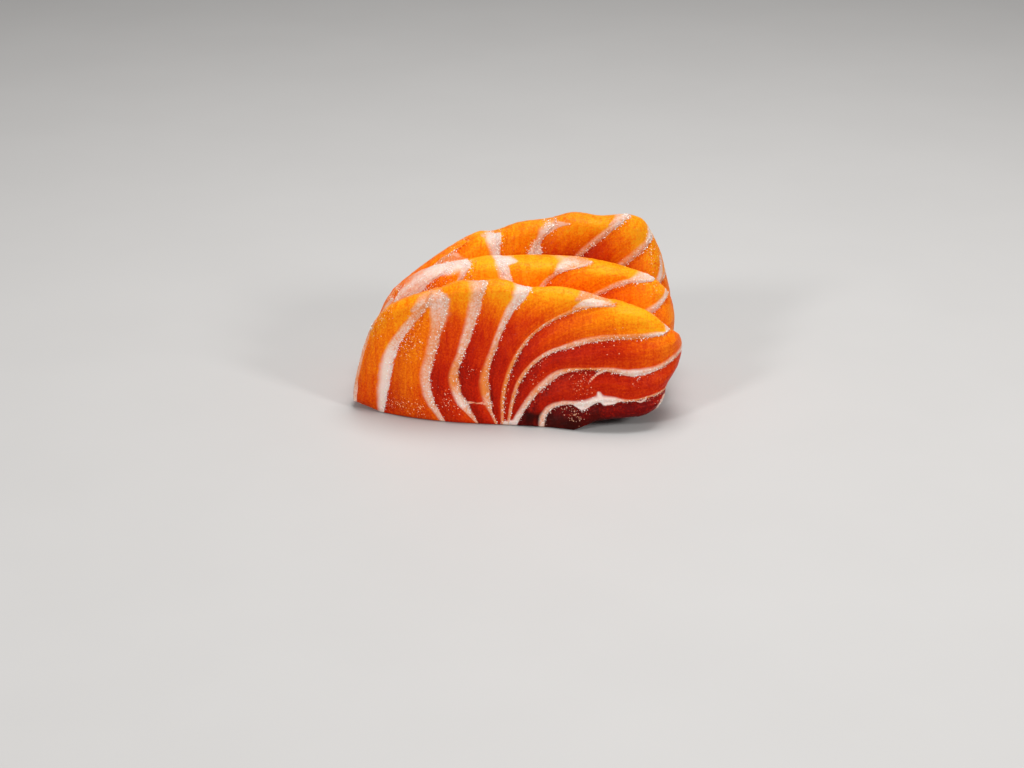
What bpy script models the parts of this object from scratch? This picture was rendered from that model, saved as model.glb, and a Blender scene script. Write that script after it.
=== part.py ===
"""Salmon sashimi: three thick raw salmon slices on edge, leaning back on one another.

The slices stand in a row along Y, front slice first, with their cut faces towards -Y. Every length
is in millimetres until a solid is made. X runs along a slice, Y back through the row, Z up. White
lines of fat, the septa, fan out over each cut face from a hub on the board to the domed top.
"""

import bmesh
import bpy
import numpy as np

MM = 0.001

# What all the slices share.
EDGE_ROUND = 2.0  # how far the cut faces round over into the domed top and the ends
FOOT_ROUND = 0.7  # the same, where a slice stands on the board
FOOT_START = 0.4  # height at which the foot's tight rounding starts to open out
FOOT_BAND = 1.6  # and the height over which it opens out to the full one
RIM_SWELL = 0.6  # how far the rim swells out between its two edges
RIM_RISE = 4.0  # the rim's swell grows from nothing on the board to all of it at this height
SHORTER = 0.03  # how much shorter the back face is than the front one, as a share
STEP_DEPTH = 0.34  # the flesh drops by this just right of each line of fat
STEP_WIDTH = 0.8  # over this distance
STEP_SHARE = 0.55  # and has come back up at this share of the segment
FLESH_SWELL = 0.42  # the flesh swells by this in the middle of a segment
FULL_SEGMENT = 5.0  # a segment narrower than this has a shallower swell and step
FAT_SLANT = 0.16  # the lines of fat slant through the slice, by this share of a segment
RELIEF_EDGE = 1.2  # steps and swells fade out over this distance from a slice's outline
PARTING = 0.35  # the least gap between two slices
LINE_POINTS = 121  # points along each end of a slice's outline
SWEEP_POINTS = 60  # points along its top and foot, for each segment
NEAR = 0.01  # points of the unshaped box closer than this are one
RIM_STEPS = (0.0, 0.14, 0.38, 0.66, 0.88, 1.0)  # share of the way through the slice
ROW_STEPS = (
    0.0, 0.022, 0.06, 0.13, 0.22, 0.32, 0.42, 0.52, 0.62, 0.71, 0.79, 0.86, 0.915, 0.95, 0.98, 1.0,
)  # share of the way from foot to head
SEGMENT_STEPS = (0.0, 0.11, 0.34, 0.7)  # share of the way from one line of fat to the next
FIRST_STEPS = (0.0, 0.05, 0.15, 0.36, 0.7)  # the same, in the segment at the left end
LAST_STEPS = (0.0, 0.2, 0.5, 0.8, 0.94, 1.0)  # and in the one at the right end

# Each slice's sizes. "plan" holds the cut face's foot seen from above, as (x, y), and "lean" the
# degrees it leans back, as (x, degrees). "taper" is how much lower its back face is, as (x, share).
# "lines" holds the left end, the septa and the right underside, each from its foot to its head as
# (x, z). "crowns" holds the top's outline between one line's head and the next.
FRONT = {
    "plan": (
        (-40, 12.5), (-37, 10.5), (-33, 9.3), (-30, 7.9), (-25.5, 5.8), (-16.7, 2.9), (-3.5, 1.0),
        (7.5, -0.6), (18, -3.4), (26, -3.1), (32, -0.8), (35.5, 2.5), (37.5, 5.5), (40, 9.0),
    ),
    "lean": ((-40, -1.0), (-18, 3.0), (0, 6.5), (18, 14.0), (33, 11.0), (40, 11.0)),
    "taper": ((-40, 0.12), (-10, 0.08), (0, 0.10), (10, 0.185), (20, 0.14), (40, 0.13)),
    "lines": (
        ((-36.6, 1.6), (-36.4, 5.2), (-35.6, 9.6), (-34.2, 14.8), (-32.3, 20.0)),
        ((-30.4, 0.0), (-29.4, 8.0), (-28.1, 15.4), (-24.6, 21.8), (-21.2, 26.3), (-18.9, 29.5)),
        ((-16.4, 0.0), (-19.8, 5.3), (-20.5, 9.6), (-19.2, 17.1), (-18.0, 25.2), (-17.4, 30.0)),
        ((-8.7, 0.0), (-12.5, 4.6), (-14.4, 9.9), (-12.5, 16.8), (-9.8, 25.4), (-8.1, 31.9)),
        ((-4.5, 0.0), (-6.5, 5.0), (-7.2, 9.5), (-5.5, 17.1), (-2.0, 26.0), (1.2, 30.9)),
        ((-3.2, 0.0), (-2.9, 5.7), (-1.7, 11.0), (2.6, 19.8), (9.6, 26.1), (21.8, 27.6)),
        ((-2.1, 0.0), (-0.7, 5.2), (2.5, 11.8), (7.8, 16.7), (17.4, 20.9), (34.2, 22.0)),
        ((-0.9, 0.0), (2.8, 5.6), (8.8, 11.2), (15.6, 13.4), (26.6, 12.8), (36.7, 16.7)),
        ((5.4, 0.0), (6.9, 3.9), (12.0, 6.0), (18.4, 7.7), (25.2, 7.2), (33.0, 8.5)),
        ((10.5, 0.0), (13.6, 1.3), (18.0, 3.1), (25.0, 3.7), (30.9, 5.4)),
    ),
    "crowns": (
        ((-29.2, 24.2), (-25.0, 27.1)),
        ((-18.2, 29.8),),
        ((-13.0, 31.8),),
        ((-2.8, 32.4),),
        ((9.8, 30.7), (16.2, 29.3)),
        ((28.8, 25.9),),
        ((36.0, 19.7),),
        ((35.7, 12.2),),
        ((32.3, 7.0),),
    ),
}
MIDDLE = {
    "plan": (
        (-40, 22.4), (-34, 20.6), (-28, 18.4), (-18, 14.8), (-5, 12.2), (8, 11.0), (20, 10.8),
        (28, 11.8), (33, 13.8), (36, 16.6), (40, 21.0),
    ),
    "lean": ((-40, 3.0), (0, 6.0), (40, 9.0)),
    "taper": ((-40, 0.08), (40, 0.08)),
    "lines": (
        ((-34.0, 0.7), (-34.4, 4.5), (-34.0, 8.5), (-33.2, 12.5), (-32.0, 16.2)),
        ((-28.2, 0.0), (-29.3, 7.0), (-29.0, 14.0), (-26.6, 20.8), (-21.8, 26.8), (-14.8, 31.5)),
        ((-15.2, 0.0), (-18.8, 5.5), (-19.3, 12.0), (-16.8, 21.9), (-11.2, 32.0)),
        ((-7.6, 0.0), (-10.6, 5.0), (-10.9, 10.5), (-6.8, 18.9), (-2.2, 27.8), (-3.4, 32.9)),
        ((-4.2, 0.0), (-4.8, 5.8), (-2.6, 13.2), (2.4, 22.6), (7.6, 30.4), (16.0, 32.8)),
        ((-1.8, 0.0), (-0.9, 6.0), (3.2, 13.7), (10.4, 21.6), (19.2, 27.0), (31.2, 29.0)),
        ((0.4, 0.0), (2.6, 5.4), (8.6, 12.2), (18.0, 18.2), (28.4, 21.8), (34.9, 24.6)),
        ((3.4, 0.0), (7.0, 4.4), (13.6, 8.7), (22.4, 11.2), (35.4, 13.8)),
        ((10.0, 0.0), (13.2, 2.8), (19.0, 5.0), (26.0, 5.4), (34.6, 6.6)),
        ((17.5, 0.0), (21.5, 0.0), (27.0, 0.1), (33.1, 2.2)),
    ),
    "crowns": (
        ((-29.8, 21.0), (-26.6, 25.2), (-21.6, 29.2)),
        ((-13.0, 31.8),),
        ((-7.4, 32.8),),
        ((5.6, 33.2),),
        ((24.6, 31.2),),
        ((34.2, 26.4),),
        ((35.9, 18.8),),
        ((35.4, 10.0),),
        ((34.2, 4.3),),
    ),
}
BACK = {
    "plan": (
        (-40, 33.0), (-32, 30.8), (-24, 28.2), (-12, 25.2), (0, 23.4), (15, 22.7), (24, 23.3),
        (30, 24.9), (34, 27.1), (40, 32.0),
    ),
    "lean": ((-40, 6.0), (0, 8.0), (40, 10.0)),
    "taper": ((-40, 0.05), (5, 0.06), (12, 0.035), (18, 0.06), (40, 0.05)),
    "thick": 10.8,
    "lines": (
        ((-32.4, 0.8), (-33.1, 5.5), (-32.6, 11.0), (-31.0, 15.8), (-28.6, 19.8)),
        ((-26.0, 0.0), (-27.2, 8.5), (-25.0, 18.0), (-19.2, 27.2), (-11.2, 33.0)),
        ((-13.2, 0.0), (-15.4, 7.0), (-13.4, 15.7), (-7.2, 25.2), (-5.0, 30.6), (-5.9, 34.3)),
        ((-6.2, 0.0), (-8.6, 8.0), (-5.2, 17.2), (2.0, 26.4), (4.2, 33.0), (8.8, 38.5)),
        ((-1.6, 0.0), (-1.4, 8.0), (4.0, 18.2), (13.0, 30.0), (24.6, 39.2)),
        ((1.8, 0.0), (4.2, 7.0), (11.2, 16.9), (24.0, 27.9), (31.0, 34.0)),
        ((5.2, 0.0), (9.4, 6.0), (18.0, 13.6), (27.6, 19.2), (34.6, 25.0)),
        ((9.2, 0.0), (14.4, 4.2), (22.0, 8.0), (34.8, 13.2)),
        ((15.5, 0.0), (20.5, 0.0), (26.0, 0.1), (32.8, 2.4)),
    ),
    "crowns": (
        ((-23.6, 24.4), (-17.4, 29.2)),
        ((-8.4, 34.2),),
        ((0.6, 37.0),),
        ((13.0, 39.2), (19.0, 38.7)),
        ((28.5, 37.4),),
        ((33.6, 29.4),),
        ((35.4, 18.8),),
        ((34.3, 7.2),),
    ),
}

# The row's front slice first. Colours are sRGB.
SLICES = (
    ("slice_front", FRONT, (0.86, 0.35, 0.11)),
    ("slice_middle", MIDDLE, (0.88, 0.39, 0.12)),
    ("slice_back", BACK, (0.85, 0.34, 0.10)),
)


def through_points(points, shares):
    """A smooth curve through the points, at shares (0 to 1) of its length."""
    points = np.asarray(points, float)
    lengths = np.linalg.norm(np.diff(points, axis=0), axis=1)
    knots = np.concatenate([[0.0], np.cumsum(lengths)]) / lengths.sum()
    slopes = np.gradient(points, knots, axis=0)
    shares = np.clip(np.asarray(shares, float), 0.0, 1.0)
    span = np.clip(np.searchsorted(knots, shares, side="right") - 1, 0, len(knots) - 2)
    width = knots[span + 1] - knots[span]
    t = ((shares - knots[span]) / width)[..., None]
    width = width[..., None]
    start = (1 + 2 * t) * (1 - t) ** 2 * points[span] + t * (1 - t) ** 2 * width * slopes[span]
    end = t * t * (3 - 2 * t) * points[span + 1] + t * t * (t - 1) * width * slopes[span + 1]
    return start + end


def along(table, x):
    """The second number of a table of pairs, read smoothly at x."""
    table = np.asarray(table, float)
    slopes = np.gradient(table[:, 1], table[:, 0])
    x = np.clip(x, table[0, 0], table[-1, 0])
    span = np.clip(np.searchsorted(table[:, 0], x, side="right") - 1, 0, len(table) - 2)
    width = table[span + 1, 0] - table[span, 0]
    t = (x - table[span, 0]) / width
    start = (1 + 2 * t) * (1 - t) ** 2 * table[span, 1] + t * (1 - t) ** 2 * width * slopes[span]
    end = t * t * (3 - 2 * t) * table[span + 1, 1] + t * t * (t - 1) * width * slopes[span + 1]
    return start + end


def ease(t):
    """0 to 1 with level ends."""
    t = np.clip(t, 0.0, 1.0)
    return t * t * (3 - 2 * t)


def top_outline(sizes, a):
    """(x, z) on the top's outline at fan coordinate a: 0 left end, 1 first septum, and so on."""
    heads = [line[-1] for line in sizes["lines"]]
    points = [heads[0]]
    marks = [0.0]
    for k, crowns in enumerate(sizes["crowns"]):
        for n, crown in enumerate(crowns):
            points.append(crown)
            marks.append(k + (n + 1) / (len(crowns) + 1))
        points.append(heads[k + 1])
        marks.append(k + 1.0)
    points = np.asarray(points, float)
    lengths = np.concatenate([[0.0], np.cumsum(np.linalg.norm(np.diff(points, axis=0), axis=1))])
    reach = np.interp(a, marks, lengths)
    return through_points(points, reach / lengths[-1])


def fan_point(sizes, a, c):
    """(x, z) on the cut face at fan coordinate a and share c of the way from foot to head."""
    lines = sizes["lines"]
    a = np.clip(np.asarray(a, float), 0.0, len(lines) - 1.0)
    c = np.asarray(c, float)
    k = np.minimum(a.astype(int), len(lines) - 2)
    s = (a - k)[..., None]
    curves = np.stack([through_points(line, c) for line in lines])
    ends = np.stack([np.array([line[0], line[-1]], float) for line in lines])
    index = np.indices(a.shape)
    left = curves[(k,) + tuple(index)]
    right = curves[(k + 1,) + tuple(index)]
    straight_top = (1 - s) * ends[k, 1] + s * ends[k + 1, 1]
    lift = top_outline(sizes, a) - straight_top
    place = (1 - s) * left + s * right + lift * (c ** 3)[..., None]
    place[..., 1] = np.maximum(place[..., 1], 0.0)
    return place


def face_depth(sizes, x, z):
    """How far back the cut face lies at (x, z), before its rounding and relief."""
    return along(sizes["plan"], x) + z * np.tan(np.radians(along(sizes["lean"], x)))


def outline_of(sizes):
    """The slice's outline as a closed run of close points."""
    last = len(sizes["lines"]) - 1
    rise = np.linspace(0, 1, LINE_POINTS)
    left = fan_point(sizes, np.zeros_like(rise), rise)
    sweep = np.linspace(0, last, SWEEP_POINTS * last + 1)[1:]
    top = fan_point(sizes, sweep, np.ones_like(sweep))
    right = fan_point(sizes, np.full_like(rise, last), rise)[::-1][1:]
    foot = fan_point(sizes, sweep[::-1], np.zeros_like(sweep))[1:]
    return np.concatenate([left, top, right, foot])


def edge_distance(outline, points):
    """How far each point lies inside the outline."""
    starts = outline
    runs = np.roll(outline, -1, axis=0) - starts
    squares = np.maximum((runs ** 2).sum(axis=1), 1e-12)
    out = np.empty(len(points))
    for n, point in enumerate(points):
        share = np.clip(((point - starts) * runs).sum(axis=1) / squares, 0, 1)
        gaps = starts + share[:, None] * runs - point
        out[n] = np.sqrt((gaps ** 2).sum(axis=1).min())
    return out


def rounding(distance, z):
    """How far the cut face has fallen back at this distance from the outline."""
    radius = FOOT_ROUND + (EDGE_ROUND - FOOT_ROUND) * ease((z - FOOT_START) / FOOT_BAND)
    inside = np.clip(1 - distance / radius, 0, 1)
    return radius * (1 - np.sqrt(1 - inside ** 2))


def relief(sizes, a, c):
    """How far the flesh stands out of the cut face: a step down right of each septum, then a swell."""
    last = len(sizes["lines"]) - 1
    k = np.minimum(a.astype(int), last - 1)
    s = a - k
    gap = fan_point(sizes, k + 1.0, c) - fan_point(sizes, k.astype(float), c)
    width = np.linalg.norm(gap, axis=-1)
    strength = ease(width / FULL_SEGMENT)
    from_left = s * width
    step = -STEP_DEPTH * ease(from_left / STEP_WIDTH) * (1 - ease(s / STEP_SHARE)) * (k > 0)
    swell = FLESH_SWELL * np.sin(np.pi * s) ** 2
    return (step + swell) * strength


def slice_point(sizes, behind, a, c, through):
    """(x, y, z) on the slice's skin. through is 0 on the front cut face and 1 on the back one."""
    outline = outline_of(sizes)
    last = len(sizes["lines"]) - 1
    fade = np.clip(np.minimum(a, last - a), 0, 1)
    faces = []
    for back in (0.0, 1.0):
        flat = fan_point(sizes, a - back * FAT_SLANT * fade, c)
        distance = edge_distance(outline, flat)
        x = flat[:, 0] * (1 - back * SHORTER)
        z = flat[:, 1] * (1 - back * along(sizes["taper"], x))
        if not back:
            depth = face_depth(sizes, x, z)
        elif behind is None:
            depth = face_depth(sizes, x, z) + sizes["thick"]
        else:
            depth = face_depth(behind, x, z) - PARTING - 2 * FLESH_SWELL
        stands = relief(sizes, a, c) * ease(distance / RELIEF_EDGE)
        depth += (rounding(distance, z) - stands) * (1 - 2 * back)
        faces.append(np.stack([x, depth, z], axis=1))
    mixed = faces[0] + through[:, None] * (faces[1] - faces[0])
    centre = outline.mean(axis=0)
    out = mixed[:, [0, 2]] - centre
    out /= np.linalg.norm(out, axis=1)[:, None]
    swell = RIM_SWELL * 4 * through * (1 - through) * ease(mixed[:, 2] / RIM_RISE)
    mixed[:, 0] += swell * out[:, 0]
    mixed[:, 2] += swell * out[:, 1]
    return mixed


def fan_columns(sizes):
    """The fan coordinates of the mesh's columns, closest just right of each septum."""
    last = len(sizes["lines"]) - 1
    columns = list(FIRST_STEPS)
    for k in range(1, last - 1):
        columns += [k + share for share in SEGMENT_STEPS]
    columns += [last - 1 + share for share in LAST_STEPS]
    return np.array(columns)


def subdivided_box(counts):
    """A closed box of six grids, its points' coordinates being whole numbers from 0 to each count."""
    mesh = bmesh.new()
    for axis in range(3):
        across, up = [other for other in range(3) if other != axis]
        for end in (0, counts[axis]):
            made = bmesh.ops.create_grid(
                mesh, x_segments=counts[across], y_segments=counts[up], size=0.5
            )
            for vert in made["verts"]:
                place = [0.0, 0.0, 0.0]
                place[across] = round((vert.co.x + 0.5) * counts[across])
                place[up] = round((vert.co.y + 0.5) * counts[up])
                place[axis] = end
                vert.co = place
    bmesh.ops.remove_doubles(mesh, verts=mesh.verts, dist=NEAR)
    return mesh


def make_slice(name, sizes, behind, collection):
    """The slice as one closed solid, named and placed in the collection."""
    columns = fan_columns(sizes)
    counts = (len(columns) - 1, len(ROW_STEPS) - 1, len(RIM_STEPS) - 1)
    mesh = subdivided_box(counts)
    places = np.array([vert.co for vert in mesh.verts]).round().astype(int)
    a = columns[places[:, 0]]
    c = np.array(ROW_STEPS)[places[:, 1]]
    through = np.array(RIM_STEPS)[places[:, 2]]
    points = slice_point(sizes, behind, a, c, through) * MM
    for vert, point in zip(mesh.verts, points):
        vert.co = point
    mesh.normal_update()
    bmesh.ops.recalc_face_normals(mesh, faces=mesh.faces)
    data = bpy.data.meshes.new(name)
    mesh.to_mesh(data)
    mesh.free()
    data.shade_smooth()
    piece = bpy.data.objects.new(name, data)
    collection.objects.link(piece)
    return piece


def raw_salmon(name, colour):
    """A Principled material for wet raw salmon of this colour."""
    material = bpy.data.materials.new(name)
    material.use_nodes = True
    shader = material.node_tree.nodes["Principled BSDF"]
    linear = [((v + 0.055) / 1.055) ** 2.4 for v in colour]
    shader.inputs["Base Color"].default_value = (*linear, 1.0)
    shader.inputs["Roughness"].default_value = 0.32
    shader.inputs["Subsurface Weight"].default_value = 0.25
    shader.inputs["Subsurface Radius"].default_value = (0.004, 0.0014, 0.0006)
    shader.inputs["Coat Weight"].default_value = 0.4
    shader.inputs["Coat Roughness"].default_value = 0.15
    return material


def main():
    for old in list(bpy.data.objects):
        bpy.data.objects.remove(old)
    collection = bpy.data.collections.new("salmon_sashimi")
    bpy.context.scene.collection.children.link(collection)
    pieces = []
    for n, (name, sizes, colour) in enumerate(SLICES):
        behind = SLICES[n + 1][1] if n + 1 < len(SLICES) else None
        piece = make_slice(name, sizes, behind, collection)
        piece.data.materials.append(raw_salmon(name, colour))
        pieces.append(piece)
    # The row's origin is the middle of its footprint, on the board.
    corners = np.array([vert.co for piece in pieces for vert in piece.data.vertices])
    low, high = corners.min(axis=0), corners.max(axis=0)
    middle = np.array([(low[0] + high[0]) / 2, (low[1] + high[1]) / 2, low[2]])
    for piece in pieces:
        for vert in piece.data.vertices:
            vert.co = np.array(vert.co) - middle


main()
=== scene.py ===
"""The looks of three thick slices of raw salmon, standing on edge and leaning back in a row.

Each slice is rebuilt finely over its solid. Every length is in millimetres until a mesh is made. X runs
along a slice, Y back through the row, Z up. White lines of fat, the septa, fan out over each cut face
from a hub on the board. A place on a slice has three coordinates. "a" counts across the fan: 0 at the
left end, 1 on the first septum and so on. "c" runs from 0 at the foot to 1 at the head of a septum.
"through" runs from 0 on the front cut face to 1 on the back one.
"""

import math

import bpy
import numpy as np
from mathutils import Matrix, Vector


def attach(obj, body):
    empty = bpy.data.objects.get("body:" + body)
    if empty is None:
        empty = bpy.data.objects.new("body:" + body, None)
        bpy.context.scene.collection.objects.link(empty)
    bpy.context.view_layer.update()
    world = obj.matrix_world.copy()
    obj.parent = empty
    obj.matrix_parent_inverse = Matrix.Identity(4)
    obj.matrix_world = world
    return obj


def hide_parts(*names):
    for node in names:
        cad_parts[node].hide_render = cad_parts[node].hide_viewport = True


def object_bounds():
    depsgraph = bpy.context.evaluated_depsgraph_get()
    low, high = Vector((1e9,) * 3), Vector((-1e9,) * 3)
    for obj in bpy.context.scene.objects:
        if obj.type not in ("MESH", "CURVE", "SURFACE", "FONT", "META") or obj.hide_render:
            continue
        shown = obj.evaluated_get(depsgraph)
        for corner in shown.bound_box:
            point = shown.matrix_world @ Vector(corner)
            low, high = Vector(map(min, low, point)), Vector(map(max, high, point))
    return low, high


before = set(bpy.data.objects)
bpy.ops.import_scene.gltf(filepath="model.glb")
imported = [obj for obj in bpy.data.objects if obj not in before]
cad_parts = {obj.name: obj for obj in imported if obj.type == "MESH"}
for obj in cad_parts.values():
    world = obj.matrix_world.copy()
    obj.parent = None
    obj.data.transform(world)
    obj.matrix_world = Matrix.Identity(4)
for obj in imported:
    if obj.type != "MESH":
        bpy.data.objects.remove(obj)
cad_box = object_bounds()

MM = 0.001

# ---------------------------------------------------------------- the slices' shape, as in the solids

EDGE_ROUND = 2.0  # how far the cut faces round over into the domed top and the ends
FOOT_ROUND = 0.7  # the same, where a slice stands on the board
FOOT_START = 0.4  # height at which the foot's tight rounding starts to open out
FOOT_BAND = 1.6  # and the height over which it opens out to the full one
RIM_SWELL = 0.6  # how far the rim swells out between its two edges
RIM_RISE = 4.0  # the rim's swell grows from nothing on the board to all of it at this height
SHORTER = 0.03  # how much shorter the back face is than the front one, as a share
STEP_DEPTH = 0.30  # the flesh drops by this just right of each line of fat
STEP_WIDTH = 0.85  # over this distance
STEP_SHARE = 0.55  # and has come back up at this share of the segment
FLESH_SWELL = 0.42  # the flesh swells by this in the middle of a segment
FULL_SEGMENT = 5.0  # a segment narrower than this has a shallower swell and step
FAT_SLANT = 0.16  # the lines of fat slant through the slice, by this share of a segment
RELIEF_EDGE = 1.2  # steps and swells fade out over this distance from a slice's outline
PARTING = 0.35  # the least gap between two slices
HEAD_BEND = 3  # how late between foot and head the segments bend to follow the top's outline
OUTLINE_STEP = 0.35  # the outline that distances are measured from has a point about this often
TOP_LENGTH = 110.0  # about how long the domed top is
END_LENGTH = 30.0  # and each end
CELL = 0.31  # the fine mesh's cells are about this wide
FEWEST_CELLS = 6  # and no segment has fewer than this across
ROWS = 98  # cells from foot to head
EDGE_CROWD = 0.5  # how much closer the rows stand near foot and head
DEEP_CELLS = 22  # cells from the front face to the back one

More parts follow.
